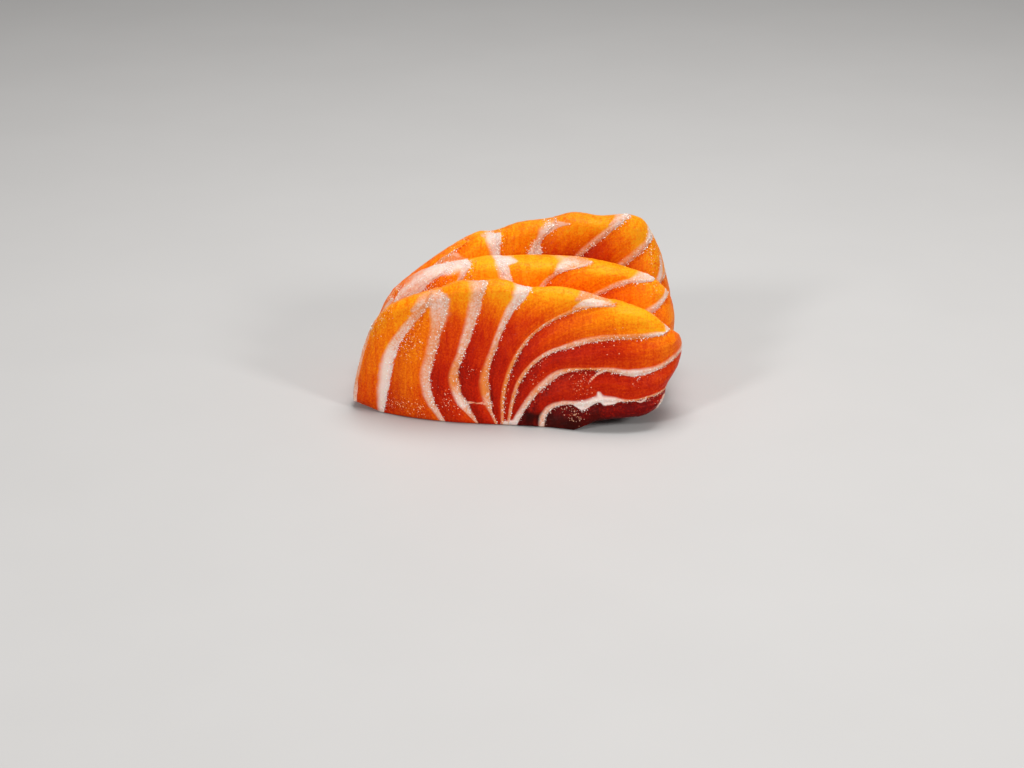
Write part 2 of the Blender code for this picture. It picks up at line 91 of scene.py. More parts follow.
# "plan" holds the cut face's foot seen from above, as (x, y), and "lean" the degrees it leans back, as
# (x, degrees). "taper" is how much lower its back face is, as (x, share). "thick" is how thick the back
# slice is. The other two reach back almost to the next slice. "lines" holds the left end, the septa and
# the right underside, each from its foot to its head as (x, z). "crowns" holds the top's outline between
# one line's head and the next. "tones" holds each segment's tone, from 0, deep red, to 1, the yellow
# orange of the top, at the shares TONE_SHARES of the way up. Its rise towards the top is partly the
# flesh's own colour and partly painted light from above. The painted shades hold, at the same shares,
# how much of the flesh's colour is kept under painted shade, which darkens the back slice most, the
# middle one less and the front one a little, low down and at the top. "fat" holds each septum as rows
# of (c, how far it reaches left, how far right, whiteness), and "over" how far each goes over the rim.
# "streaks" holds fat off the septa, as rows of (x, z, half width, whiteness), after how far each goes
# over the rim. "grainy" holds where the flesh is torn and beaded, as (x, z, reach, strength).
TONE_SHARES = (0.0, 0.35, 0.7, 0.93)
FRONT = {
    "plan": (
        (-40, 12.5), (-37, 10.5), (-33, 9.3), (-30, 7.9), (-25.5, 5.8), (-16.7, 2.9), (-3.5, 1.0),
        (7.5, -0.6), (18, -3.4), (26, -3.1), (32, -0.8), (35.5, 2.5), (37.5, 5.5), (40, 9.0),
    ),
    "lean": ((-40, -1.0), (-18, 3.0), (0, 6.5), (18, 14.0), (33, 11.0), (40, 11.0)),
    "taper": (
        (-40, 0.12), (-10, 0.08), (0, 0.10), (10, 0.195), (16, 0.115), (21, 0.060), (25, 0.115),
        (28, 0.165), (32, 0.185), (35, 0.190), (40, 0.15),
    ),
    "lines": (
        ((-37.1, 1.6), (-36.6, 5.2), (-35.6, 9.6), (-34.2, 14.8), (-32.3, 20.0)),
        ((-30.4, 0.0), (-29.4, 8.0), (-28.1, 15.4), (-24.6, 21.8), (-21.2, 26.3), (-18.9, 29.5)),
        ((-16.4, 0.0), (-19.7, 5.3), (-20.3, 9.6), (-18.9, 17.1), (-17.6, 25.2), (-17.2, 30.0)),
        ((-8.7, 0.0), (-12.5, 4.6), (-14.4, 9.9), (-12.5, 16.8), (-9.8, 25.4), (-8.1, 31.9)),
        ((-4.5, 0.0), (-6.5, 5.0), (-7.2, 9.5), (-5.5, 17.1), (-2.0, 26.0), (1.2, 30.9)),
        (
            (-3.2, 0.0), (-3.3, 5.0), (-2.4, 10.6), (-0.4, 16.0), (2.2, 19.9), (5.6, 22.9), (9.4, 25.0),
            (14.0, 26.8), (21.8, 27.6),
        ),
        (
            (-2.1, 0.0), (-1.2, 5.2), (0.4, 10.4), (2.5, 13.5), (6.6, 16.8), (10.6, 18.3), (16.6, 20.3),
            (26.0, 21.1), (33.7, 20.9),
        ),
        (
            (-0.9, 0.0), (2.0, 5.2), (5.2, 9.2), (9.0, 12.3), (12.9, 13.5), (18.9, 13.8), (24.9, 13.2),
            (31.5, 13.8), (36.6, 15.7),
        ),
        (
            (5.4, 0.0), (5.8, 2.6), (7.2, 4.5), (10.0, 5.7), (14.0, 6.1), (18.4, 7.3), (25.0, 7.1),
            (33.0, 8.5),
        ),
        ((12.4, 0.0), (15.4, 1.2), (18.0, 2.1), (23.4, 2.8), (28.0, 3.1), (31.2, 4.5)),
    ),
    "crowns": (
        ((-29.2, 24.2), (-25.0, 27.1)),
        ((-18.2, 29.8),),
        ((-13.0, 31.8),),
        ((-2.8, 32.4),),
        ((9.8, 30.7), (16.2, 29.3)),
        ((28.8, 25.6),),
        ((35.9, 18.8),),
        ((35.7, 12.2),),
        ((32.5, 6.3),),
    ),
    "painted_shades": (
        (0.86, 0.92, 0.98, 0.92), (0.84, 0.92, 0.98, 0.90), (0.96, 0.96, 0.96, 0.88),
        (0.96, 0.96, 0.96, 0.90), (0.96, 0.96, 0.96, 0.92), (0.96, 0.96, 0.96, 0.94),
        (0.94, 0.94, 0.88, 0.94), (0.90, 0.88, 0.84, 0.90), (1.0, 1.0, 1.0, 1.0),
    ),
    "tones": (
        (0.52, 0.68, 0.78, 0.88), (0.58, 0.82, 0.80, 0.90), (0.44, 0.27, 0.54, 0.94),
        (0.34, 0.25, 0.48, 0.96), (0.28, 0.30, 0.56, 0.98), (0.32, 0.34, 0.80, 1.0),
        (0.28, 0.35, 0.38, 0.78), (0.08, 0.36, 0.42, 0.46), (0.00, 0.00, 0.04, 0.12),
    ),
    "fat": (
        (
            (0.0, 0.7, 0.4, 1.1), (0.1, 1.0, 0.6, 1.2), (0.28, 1.3, 1.0, 1.1), (0.46, 1.4, 1.3, 0.85),
            (0.6, 1.2, 1.2, 0.55), (0.7, 1.0, 1.2, 0.45), (0.8, 0.9, 1.2, 0.35), (0.9, 0.9, 1.4, 0.3),
            (0.97, 0.6, 1.2, 0.3), (1.0, 0.1, 0.1, 0.2),
        ),
        (
            (0.0, 0.5, 0.5, 0.6), (0.1, 0.6, 0.8, 0.5), (0.22, 0.8, 1.0, 0.6), (0.38, 0.9, 1.0, 0.5),
            (0.53, 0.8, 1.1, 0.4), (0.7, 0.8, 1.6, 0.3), (0.78, 0.9, 2.3, 0.4), (0.86, 1.2, 2.7, 0.6),
            (0.93, 1.4, 2.5, 0.65), (0.97, 1.1, 1.8, 0.6), (1.0, 0.15, 0.15, 0.4),
        ),
        (
            (0.0, 0.2, 0.2, 0.3), (0.09, 0.3, 1.0, 0.4), (0.16, 0.6, 1.4, 0.8), (0.24, 0.6, 1.3, 0.6),
            (0.31, 0.6, 1.4, 0.1), (0.38, 0.7, 1.2, 0.15), (0.52, 0.6, 1.0, 0.4), (0.66, 0.7, 1.2, 0.5),
            (0.81, 0.9, 1.2, 0.55), (0.91, 1.1, 1.1, 0.5), (1.0, 1.5, 1.3, 0.55),
        ),
        (
            (0.0, 0.2, 0.2, 0.3), (0.1, 0.3, 0.3, 0.3), (0.17, 0.6, 0.8, 0.4), (0.28, 0.9, 1.0, 0.0),
            (0.39, 0.8, 0.8, 0.1), (0.53, 0.5, 0.9, 0.35), (0.68, 0.4, 0.8, 0.55),
            (0.82, 0.6, 1.1, 0.65), (0.92, 0.7, 1.4, 0.8), (1.0, 1.4, 1.6, 0.85),
        ),
        (
            (0.0, 0.3, 0.25, 0.3), (0.12, 0.4, 0.4, 0.0), (0.25, 0.5, 0.5, 0.0),
            (0.38, 0.45, 0.6, 0.15), (0.5, 0.45, 0.6, 0.2), (0.62, 0.5, 0.65, 0.2),
            (0.74, 0.75, 0.8, 0.1), (0.84, 0.9, 0.8, 0.3), (0.9, 0.8, 0.7, 0.7), (0.95, 0.3, 0.4, 0.4),
            (0.98, 0.05, 0.05, 0.3), (1.0, 0.02, 0.02, 0.3),
        ),
        (
            (0.0, 0.25, 0.3, 0.3), (0.15, 0.4, 0.35, 0.2), (0.3, 0.45, 0.45, 0.25),
            (0.42, 0.5, 0.6, 0.5), (0.52, 0.6, 0.7, 0.45), (0.6, 0.65, 0.9, 0.35),
            (0.7, 0.6, 0.95, 0.2), (0.85, 0.5, 0.9, 0.1), (0.92, 0.6, 0.6, 0.6), (0.95, 0.7, 0.5, 0.95),
            (0.975, 0.3, 0.2, 0.6), (1.0, 0.05, 0.05, 0.4),
        ),
        (
            (0.0, 0.7, 0.6, 1.0), (0.09, 0.55, 0.5, 0.7), (0.19, 0.6, 0.6, 0.3),
            (0.29, 0.65, 0.75, 0.5), (0.38, 0.55, 0.55, 0.5), (0.44, 0.4, 0.35, 0.15),
            (0.5, 0.2, 0.2, 0.0), (0.56, 0.3, 0.3, 0.2), (0.64, 0.5, 0.5, 0.45), (0.7, 0.5, 0.7, 0.7),
            (0.76, 0.5, 0.9, 0.9), (0.81, 0.5, 0.7, 0.7), (0.87, 0.5, 0.5, 0.45), (1.0, 0.5, 0.4, 0.6),
        ),
        (
            (0.0, 0.5, 0.5, 0.7), (0.09, 0.6, 0.5, 0.6), (0.2, 0.65, 0.55, 0.5), (0.3, 0.55, 0.5, 0.5),
            (0.385, 0.5, 0.55, 0.9), (0.46, 0.6, 0.6, 0.9), (0.53, 0.6, 0.65, 1.0),
            (0.6, 0.5, 0.55, 0.9), (0.66, 0.35, 0.35, 0.7), (0.72, 0.18, 0.2, 0.3),
            (0.8, 0.14, 0.16, 0.2), (1.0, 0.2, 0.25, 0.3),
        ),
    ),
    "over": (0.1, 0.1, 1.6, 1.6, 0.1, 0.2, 0.8, 0.5),
    "streaks": (
        (0.1, ((-10.9, 5.2, 0.12, 0.4), (-8.0, 5.1, 0.14, 0.4), (-5.3, 4.5, 0.12, 0.4))),
        (0.1, (
            (19.4, 13.7, 0.3, 0.6), (17.6, 12.8, 0.25, 0.6), (16.2, 11.6, 0.2, 0.5),
            (15.4, 10.4, 0.08, 0.5),
        )),
        (0.1, (
            (17.9, 8.8, 0.3, 1.0), (18.2, 7.7, 0.6, 1.0), (19.2, 6.9, 0.7, 1.0), (21.2, 6.9, 0.5, 1.0),
            (23.0, 7.2, 0.2, 0.6),
        )),
        (0.1, (
            (12.6, 5.7, 0.3, 0.9), (14.1, 5.5, 0.7, 1.0), (15.6, 6.1, 0.6, 1.0), (17.2, 6.9, 0.4, 1.0),
        )),
        (1.2, (
            (0.2, 30.0, 0.9, 0.85), (1.8, 31.1, 1.1, 0.85), (3.4, 31.3, 0.5, 0.6),
            (5.8, 30.9, 0.15, 0.4),
        )),
        (0.1, (
            (12.4, 26.8, 0.2, 0.4), (14.6, 27.9, 0.8, 0.75), (16.6, 28.1, 1.0, 0.85),
            (19.0, 27.7, 0.7, 0.6), (21.6, 27.2, 0.15, 0.3),
        )),
        (0.1, (
            (-23.0, 25.4, 0.4, 0.4), (-20.6, 27.4, 1.0, 0.55), (-18.0, 28.4, 1.2, 0.6),
            (-16.0, 28.2, 1.1, 0.6),
        )),
        (0.3, ((-3.0, 0.5, 0.5, 1.0), (-0.8, 0.7, 0.7, 1.0))),
        (0.3, (
            (28.8, 25.5, 0.05, 0.1), (31.0, 24.1, 0.10, 0.1), (32.4, 22.5, 0.14, 0.3),
            (33.1, 21.4, 0.4, 0.9),
        )),
        (0.1, (
            (13.0, 28.6, 0.4, 0.2), (14.6, 29.4, 0.8, 0.3), (17.0, 29.2, 0.8, 0.3),
            (19.6, 28.4, 0.5, 0.2),
        )),
        (0.22, (
            (-36.6, 1.4, 0.4, 0.8), (-36.5, 4.0, 0.5, 0.6), (-36.1, 7.4, 0.35, 0.4),
            (-34.9, 12.6, 0.4, 0.4), (-33.0, 18.6, 0.3, 0.3), (-31.4, 21.6, 0.1, 0.2),
        )),
        (0.1, (
            (26.0, 7.0, 0.12, 0.5), (27.1, 6.6, 0.22, 0.7), (28.2, 7.1, 0.22, 0.7),
            (28.6, 7.9, 0.08, 0.4),
        )),
        (0.2, ((29.8, 3.4, 0.1, 0.6), (31.2, 4.8, 0.3, 0.8), (32.4, 6.8, 0.4, 0.7))),
    ),
    "grainy": (
        (-25.3, 16.0, 2.0, 0.5), (-23.9, 19.0, 2.0, 0.5), (-22.2, 22.2, 1.8, 0.4),
        (-23.0, 17.5, 2.2, 0.4), (-28.7, 2.4, 1.6, 0.5), (-25.9, 3.1, 2.0, 0.5), (-22.3, 2.7, 1.6, 0.5),
        (-15.8, 6.8, 1.6, 0.4), (-14.7, 4.6, 1.8, 0.5), (-30.6, 22.4, 1.2, 0.6),
        (-31.8, 19.6, 1.1, 0.5), (-33.4, 15.0, 1.0, 0.3), (-10.0, 12.4, 1.2, 0.3),
        (13.2, 10.6, 1.5, 0.6), (14.6, 12.0, 1.2, 0.5), (15.6, 9.2, 1.4, 0.4), (12.6, 3.8, 1.6, 0.9),
        (14.2, 5.6, 1.5, 1.2), (11.0, 4.6, 1.4, 0.7), (21.0, 20.0, 1.8, 0.3), (31.6, 5.6, 1.0, 0.8),
        (26.6, 12.0, 1.2, 0.4), (3.6, 11.0, 1.4, 0.3), (-29.0, 24.4, 1.0, 0.6),
    ),
}
MIDDLE = {
    "plan": (
        (-40, 22.4), (-34, 20.6), (-28, 18.4), (-18, 14.8), (-5, 12.2), (8, 11.0), (20, 10.8),
        (28, 11.8), (33, 13.8), (36, 16.6), (40, 21.0),
    ),
    "lean": ((-40, 3.0), (0, 6.0), (40, 9.0)),
    "taper": ((-40, 0.08), (24, 0.08), (32, 0.12), (40, 0.12)),
    "lines": (
        ((-34.0, 0.7), (-34.4, 4.5), (-34.0, 8.5), (-33.2, 12.5), (-32.0, 16.2)),
        ((-28.2, 0.0), (-29.3, 7.0), (-29.0, 14.0), (-26.6, 20.8), (-21.8, 26.8), (-14.8, 31.5)),
        ((-15.2, 0.0), (-18.8, 5.5), (-19.3, 12.0), (-16.8, 21.9), (-11.2, 32.0)),
        ((-7.6, 0.0), (-10.6, 5.0), (-10.9, 10.5), (-6.8, 18.9), (-2.2, 27.8), (-3.4, 32.9)),
        ((-4.2, 0.0), (-4.8, 5.8), (-2.6, 13.2), (2.4, 22.6), (7.6, 30.4), (16.0, 32.8)),
        ((-1.8, 0.0), (-0.9, 6.0), (3.2, 13.7), (10.4, 21.6), (19.0, 27.0), (25.0, 29.0), (30.4, 28.6)),
        ((0.4, 0.0), (2.6, 5.4), (8.6, 12.2), (18.0, 18.0), (28.6, 21.2), (34.0, 24.6)),
        ((3.4, 0.0), (7.0, 4.4), (13.6, 8.7), (22.4, 11.2), (35.4, 13.8)),
        ((10.0, 0.0), (13.2, 2.8), (19.0, 5.0), (26.0, 5.4), (34.6, 6.6)),
        ((17.5, 0.0), (21.5, 0.0), (27.0, 0.1), (33.1, 2.2)),
    ),
    "crowns": (
        ((-29.8, 21.0), (-26.6, 25.2), (-21.6, 29.2)),
        ((-13.0, 31.8),),
        ((-7.4, 32.8),),
        ((5.6, 33.2),),
        ((24.4, 31.1),),
        ((33.0, 26.0),),
        ((35.6, 18.8),),
        ((35.4, 10.0),),
        ((34.2, 4.3),),
    ),
    "painted_shades": (
        (0.94, 0.94, 0.94, 0.96), (0.92, 0.92, 0.92, 0.95), (0.86, 0.86, 0.86, 0.93),
        (0.86, 0.86, 0.86, 0.93), (0.84, 0.84, 0.84, 0.92), (0.80, 0.80, 0.80, 0.90),
        (0.80, 0.80, 0.80, 0.90), (0.80, 0.80, 0.80, 0.85), (0.80, 0.80, 0.80, 0.85),
    ),
    "tones": (
        (0.46, 0.56, 0.68, 0.74), (0.34, 0.44, 0.68, 0.92), (0.30, 0.36, 0.78, 1.0),
        (0.28, 0.34, 0.76, 0.96), (0.26, 0.34, 0.74, 0.96), (0.26, 0.36, 0.66, 0.92),
        (0.26, 0.40, 0.62, 0.84), (0.26, 0.40, 0.52, 0.56), (0.20, 0.32, 0.42, 0.46),
    ),
    "fat": (
        (
            (0.0, 0.9, 0.4, 0.7), (0.4, 1.3, 0.9, 0.7), (0.7, 1.5, 1.3, 0.8), (0.85, 1.4, 0.9, 0.85),
            (1.0, 0.9, 0.7, 0.9),
        ),
        (
            (0.0, 0.4, 0.5, 0.6), (0.5, 0.8, 0.9, 0.5), (0.7, 0.7, 0.8, 0.5), (0.8, 0.3, 0.4, 0.3),
            (0.92, 0.3, 0.6, 0.7), (1.0, 0.6, 0.9, 0.9),
        ),
        ((0.0, 0.3, 0.3, 0.4), (0.5, 0.7, 0.8, 0.5), (0.85, 0.8, 1.1, 0.9), (1.0, 1.1, 1.3, 1.0)),
        (
            (0.0, 0.3, 0.3, 0.4), (0.5, 0.5, 0.6, 0.5), (0.8, 0.7, 0.8, 0.4), (0.9, 0.8, 0.7, 0.6),
            (1.0, 0.7, 0.6, 0.5),
        ),
        (
            (0.0, 0.3, 0.3, 0.4), (0.5, 0.5, 0.5, 0.5), (0.8, 0.6, 0.6, 0.3), (0.92, 0.8, 0.7, 0.8),
            (1.0, 0.7, 0.5, 0.9),
        ),
        (
            (0.0, 0.3, 0.3, 0.5), (0.5, 0.5, 0.6, 0.5), (0.8, 0.7, 0.7, 0.3), (0.9, 0.8, 0.7, 0.6),
            (0.96, 0.5, 0.6, 0.9), (1.0, 0.1, 0.1, 0.6),
        ),
        (
            (0.0, 0.4, 0.3, 0.6), (0.5, 0.6, 0.6, 0.5), (0.9, 0.6, 0.6, 0.7), (0.96, 0.3, 0.3, 0.6),
            (1.0, 0.05, 0.05, 0.6),
        ),
        ((0.0, 0.4, 0.4, 0.5), (0.5, 0.8, 0.8, 0.8), (1.0, 0.4, 0.4, 0.4)),
    ),
    "over": (0.3, 1.6, 1.2, 0.4, 0.4, 0.2, 0.2, 0.5),
    "streaks": (
        (0.5, (
            (-27.6, 22.4, 0.3, 0.7), (-25.6, 24.4, 0.9, 0.75), (-22.4, 27.4, 1.0, 0.8),
            (-18.8, 30.0, 1.0, 0.9), (-15.2, 31.6, 1.2, 0.9), (-12.2, 32.2, 1.0, 0.9),
            (-11.2, 32.0, 0.6, 0.8),
        )),
        (0.2, ((-12.0, 31.4, 0.7, 0.9), (-12.4, 29.6, 0.6, 0.6), (-12.8, 28.2, 0.15, 0.3))),
        (1.0, (
            (-4.4, 33.0, 0.4, 0.8), (-2.6, 33.4, 1.0, 1.0), (-0.6, 33.5, 0.6, 0.8),
            (1.4, 33.4, 0.1, 0.5),
        )),
        (0.5, (
            (8.2, 31.0, 0.2, 0.5), (9.8, 32.2, 0.8, 0.9), (12.0, 32.8, 0.7, 0.6),
            (17.0, 33.1, 0.15, 0.2),
        )),
        (0.2, (
            (23.6, 28.6, 0.2, 0.4), (26.6, 29.4, 0.6, 0.6), (28.6, 29.5, 0.7, 0.7),
            (30.2, 29.0, 0.3, 0.8),
        )),
        (0.1, (
            (30.2, 22.2, 0.2, 0.6), (32.2, 23.3, 0.55, 0.9), (33.3, 24.4, 0.45, 0.8),
            (33.6, 26.0, 0.12, 0.5),
        )),
        (0.2, (
            (-33.6, 8.0, 0.3, 0.4), (-31.6, 16.6, 0.3, 0.4), (-29.6, 20.6, 0.3, 0.6),
            (-28.2, 22.8, 0.2, 0.6),
        )),
    ),
    "grainy": (
        (-28.0, 22.8, 1.2, 0.9), (-27.0, 25.0, 1.2, 0.8), (-24.0, 24.4, 1.3, 0.7),
        (-20.4, 26.6, 1.4, 0.9), (-19.0, 27.4, 1.2, 0.8), (-15.6, 30.6, 1.2, 0.8),
        (-15.4, 27.4, 1.4, 0.7), (-11.1, 32.0, 1.2, 1.2), (-10.7, 30.0, 1.0, 1.0),
        (-3.4, 32.6, 1.1, 1.2), (-2.9, 30.6, 1.0, 1.2), (30.0, 29.4, 1.0, 0.7), (31.2, 26.8, 1.0, 0.5),
        (8.6, 31.6, 1.0, 0.5),
    ),
}
BACK = {
    "plan": (
        (-40, 33.0), (-32, 30.8), (-24, 28.2), (-12, 25.2), (0, 23.4), (15, 22.7), (24, 23.3),
        (30, 24.9), (34, 27.1), (40, 32.0),
    ),
    "lean": ((-40, 6.0), (0, 8.0), (40, 10.0)),
    "taper": (
        (-40, 0.05), (-20, 0.05), (-12, 0.03), (-3, 0.035), (5, 0.06), (12, 0.035), (18, 0.06),
        (40, 0.05),
    ),
    "thick": 10.8,
    "lines": (
        ((-32.4, 0.8), (-33.1, 5.5), (-32.6, 11.0), (-31.0, 15.8), (-28.6, 19.8)),
        ((-26.0, 0.0), (-27.2, 8.5), (-25.0, 18.0), (-19.2, 27.2), (-11.2, 33.0)),
        ((-13.2, 0.0), (-15.4, 7.0), (-13.4, 15.7), (-7.2, 25.2), (-5.0, 30.6), (-5.9, 34.3)),
        ((-6.2, 0.0), (-8.6, 8.0), (-5.2, 17.2), (2.0, 26.4), (4.2, 33.0), (8.8, 38.5)),
        ((-1.6, 0.0), (-1.4, 8.0), (4.0, 18.2), (13.0, 30.0), (24.6, 39.2)),
        ((1.8, 0.0), (4.2, 7.0), (11.2, 16.9), (22.8, 27.6), (27.2, 30.8), (29.6, 32.6), (30.7, 34.3)),
        ((5.2, 0.0), (9.4, 6.0), (18.0, 13.6), (27.4, 19.2), (34.1, 24.8)),
        ((9.2, 0.0), (14.4, 4.2), (22.0, 8.0), (34.8, 13.2)),
        ((15.5, 0.0), (20.5, 0.0), (26.0, 0.1), (32.8, 2.4)),
    ),
    "crowns": (
        ((-23.6, 24.4), (-17.4, 29.2)),
        ((-8.4, 34.2),),
        ((0.6, 37.0),),
        ((13.0, 39.2), (19.0, 38.7)),
        ((28.7, 37.6),),
        ((33.0, 29.2),),
        ((35.4, 18.8),),
        ((34.3, 7.2),),
    ),
    "painted_shades": (
        (1.0, 1.0, 1.0, 1.0), (0.90, 0.90, 0.90, 0.92), (0.66, 0.66, 0.70, 0.80),
        (0.62, 0.62, 0.62, 0.78), (0.60, 0.60, 0.60, 0.80), (0.62, 0.62, 0.62, 0.80),
        (0.72, 0.72, 0.72, 0.80), (0.75, 0.75, 0.75, 0.80),
    ),
    "tones": (
        (0.48, 0.58, 0.70, 0.76), (0.30, 0.40, 0.86, 0.96), (0.26, 0.34, 0.68, 0.90),
        (0.26, 0.32, 0.44, 0.92), (0.24, 0.30, 0.36, 0.98), (0.24, 0.30, 0.46, 0.92),
        (0.24, 0.36, 0.72, 0.80), (0.22, 0.32, 0.46, 0.50),
    ),
    "fat": (
        (
            (0.0, 0.7, 0.4, 0.6), (0.4, 1.2, 0.8, 0.5), (0.7, 0.8, 0.7, 0.3), (0.85, 0.5, 0.5, 0.2),
            (0.92, 0.1, 0.1, 0.1), (1.0, 0.05, 0.05, 0.1),
        ),
        (
            (0.0, 0.4, 0.4, 0.5), (0.5, 0.7, 0.8, 0.6), (0.8, 0.7, 1.0, 0.4), (0.9, 0.8, 1.4, 0.9),
            (1.0, 1.2, 1.7, 0.9),
        ),
        (
            (0.0, 0.3, 0.3, 0.4), (0.5, 0.5, 0.7, 0.5), (0.74, 0.9, 1.3, 0.9), (0.8, 0.9, 1.3, 0.9),
            (0.88, 0.8, 0.9, 0.6), (0.95, 0.9, 0.9, 0.8), (1.0, 0.3, 0.3, 0.4),
        ),
        (
            (0.0, 0.3, 0.3, 0.4), (0.5, 0.5, 0.6, 0.4), (0.75, 0.9, 0.8, 0.3), (0.9, 0.9, 0.8, 0.35),
            (0.97, 0.9, 0.8, 0.8), (1.0, 0.8, 0.8, 0.8),
        ),
        (
            (0.0, 0.3, 0.3, 0.4), (0.5, 0.5, 0.5, 0.4), (0.85, 0.7, 0.7, 0.3), (0.95, 0.8, 0.6, 0.5),
            (1.0, 0.5, 0.4, 0.5),
        ),
        ((0.0, 0.4, 0.3, 0.6), (0.5, 0.6, 0.6, 0.5), (0.8, 0.6, 0.7, 0.2), (1.0, 0.6, 0.6, 0.5)),
        ((0.0, 0.4, 0.4, 0.5), (0.5, 0.8, 0.8, 0.7), (1.0, 0.4, 0.4, 0.5)),
    ),
    "over": (0.3, 0.8, 0.15, 0.5, 0.3, 0.4, 0.5),
    "streaks": (
        (0.1, (
            (-18.6, 27.4, 0.2, 0.2), (-15.8, 29.0, 0.7, 0.2), (-13.8, 29.6, 1.0, 0.3),
            (-12.2, 29.2, 0.6, 0.2),
        )),
        (0.2, (
            (-8.6, 34.4, 0.1, 0.5), (-6.4, 34.6, 0.5, 0.7), (-4.6, 34.8, 0.9, 1.0),
            (-4.4, 33.4, 0.8, 0.9),
        )),
        (0.15, (
            (4.6, 34.0, 0.3, 0.5), (6.0, 36.0, 0.9, 0.8), (7.4, 37.0, 0.9, 0.8), (9.4, 37.8, 0.5, 0.5),
            (12.0, 38.0, 0.15, 0.3),
        )),
        (0.15, ((4.0, 29.6, 0.5, 0.9), (4.6, 31.6, 0.9, 1.0), (4.9, 33.4, 0.3, 0.6))),
        (0.5, ((21.0, 37.6, 0.2, 0.4), (23.4, 38.8, 0.7, 0.7), (25.8, 38.8, 0.2, 0.5))),
        (0.1, (
            (29.2, 32.2, 0.4, 0.9), (30.3, 33.6, 0.7, 1.0), (30.4, 35.0, 0.4, 0.8),
            (29.8, 36.6, 0.15, 0.5),
        )),
        (0.2, (
            (32.8, 29.2, 0.15, 0.5), (33.1, 27.4, 0.25, 0.7), (33.0, 25.8, 0.4, 0.9),
            (32.7, 24.2, 0.55, 1.0),
        )),
    ),
    "grainy": (
        (-4.6, 35.4, 1.2, 0.8), (-4.2, 33.6, 1.3, 1.1), (-4.6, 31.8, 1.2, 0.8), (4.0, 33.2, 1.2, 1.1),
        (3.8, 31.2, 1.3, 1.2), (5.6, 31.4, 1.0, 0.7), (7.0, 37.2, 1.1, 0.8), (13.8, 31.6, 0.8, 0.5),
        (30.4, 30.7, 1.2, 0.5), (31.1, 28.3, 1.2, 0.4), (29.8, 33.0, 1.0, 0.5), (-15.0, 32.0, 1.2, 0.3),
    ),
}
SLICES = {"slice_front": FRONT, "slice_middle": MIDDLE, "slice_back": BACK}
BEHIND = {"slice_front": MIDDLE, "slice_middle": BACK, "slice_back": None}


def smooth_span(values, slopes, span, width, t):
    """A smooth curve from one value to the next, t (0 to 1) of the way across each span."""
    start = (1 + 2 * t) * (1 - t) ** 2 * values[span] + t * (1 - t) ** 2 * width * slopes[span]
    end = t * t * (3 - 2 * t) * values[span + 1] + t * t * (t - 1) * width * slopes[span + 1]
    return start + end


def through_points(points, shares):
    """A smooth curve through the points, at shares (0 to 1) of its length."""
    points = np.asarray(points, float)
    lengths = np.linalg.norm(np.diff(points, axis=0), axis=1)
    knots = np.concatenate([[0.0], np.cumsum(lengths)]) / lengths.sum()
    slopes = np.gradient(points, knots, axis=0)
    shares = np.clip(np.asarray(shares, float), 0.0, 1.0)
    span = np.clip(np.searchsorted(knots, shares, side="right") - 1, 0, len(knots) - 2)
    width = knots[span + 1] - knots[span]
    t = (shares - knots[span]) / width
    return smooth_span(points, slopes, span, width[..., None], t[..., None])


def along(table, x):
    """The second number of a table of pairs, read smoothly at x."""
    table = np.asarray(table, float)
    slopes = np.gradient(table[:, 1], table[:, 0])
    x = np.clip(x, table[0, 0], table[-1, 0])
    span = np.clip(np.searchsorted(table[:, 0], x, side="right") - 1, 0, len(table) - 2)
    width = table[span + 1, 0] - table[span, 0]
    return smooth_span(table[:, 1], slopes, span, width, (x - table[span, 0]) / width)


def ease(t):
    """0 to 1 with level ends."""
    t = np.clip(t, 0.0, 1.0)
    return t * t * (3 - 2 * t)


def top_outline(sizes, a):
    """(x, z) on the top's outline at fan coordinate a."""
    heads = [line[-1] for line in sizes["lines"]]
    points = [heads[0]]
    marks = [0.0]
    for k, crowns in enumerate(sizes["crowns"]):
        for n, crown in enumerate(crowns):
            points.append(crown)
            marks.append(k + (n + 1) / (len(crowns) + 1))
        points.append(heads[k + 1])
        marks.append(k + 1.0)
    points = np.asarray(points, float)
    lengths = np.concatenate([[0.0], np.cumsum(np.linalg.norm(np.diff(points, axis=0), axis=1))])
    reach = np.interp(a, marks, lengths)
    return through_points(points, reach / lengths[-1])


def fan_grid(sizes, columns, rows):
    """(x, z) on the cut face for every column (fan coordinate) and row (share from foot to head)."""
    lines = sizes["lines"]
    columns = np.clip(columns, 0.0, len(lines) - 1.0)
    k = np.minimum(columns.astype(int), len(lines) - 2)
    s = (columns - k)[:, None, None]
    curves = np.stack([through_points(line, rows) for line in lines])
    heads = np.array([line[-1] for line in lines], float)
    straight_top = (1 - s[:, 0]) * heads[k] + s[:, 0] * heads[k + 1]
    lift = top_outline(sizes, columns) - straight_top
    place = (1 - s) * curves[k] + s * curves[k + 1] + lift[:, None, :] * (rows ** HEAD_BEND)[None, :, None]
    place[..., 1] = np.maximum(place[..., 1], 0.0)
    return place


def face_depth(sizes, x, z):
    """How far back the cut face lies at (x, z), before its rounding and relief."""
    return along(sizes["plan"], x) + z * np.tan(np.radians(along(sizes["lean"], x)))


def outline_of(sizes):
    """The slice's outline as a closed run of close points."""
    last = len(sizes["lines"]) - 1
    sweep = np.linspace(0, last, int(TOP_LENGTH / OUTLINE_STEP))
    rise = np.linspace(0, 1, int(END_LENGTH / OUTLINE_STEP))
    ends = fan_grid(sizes, np.array([0.0, last]), rise)
    sides = fan_grid(sizes, sweep, np.array([0.0, 1.0]))
    return np.concatenate([ends[0], sides[1:, 1], ends[1, ::-1][1:], sides[::-1, 0][1:]])


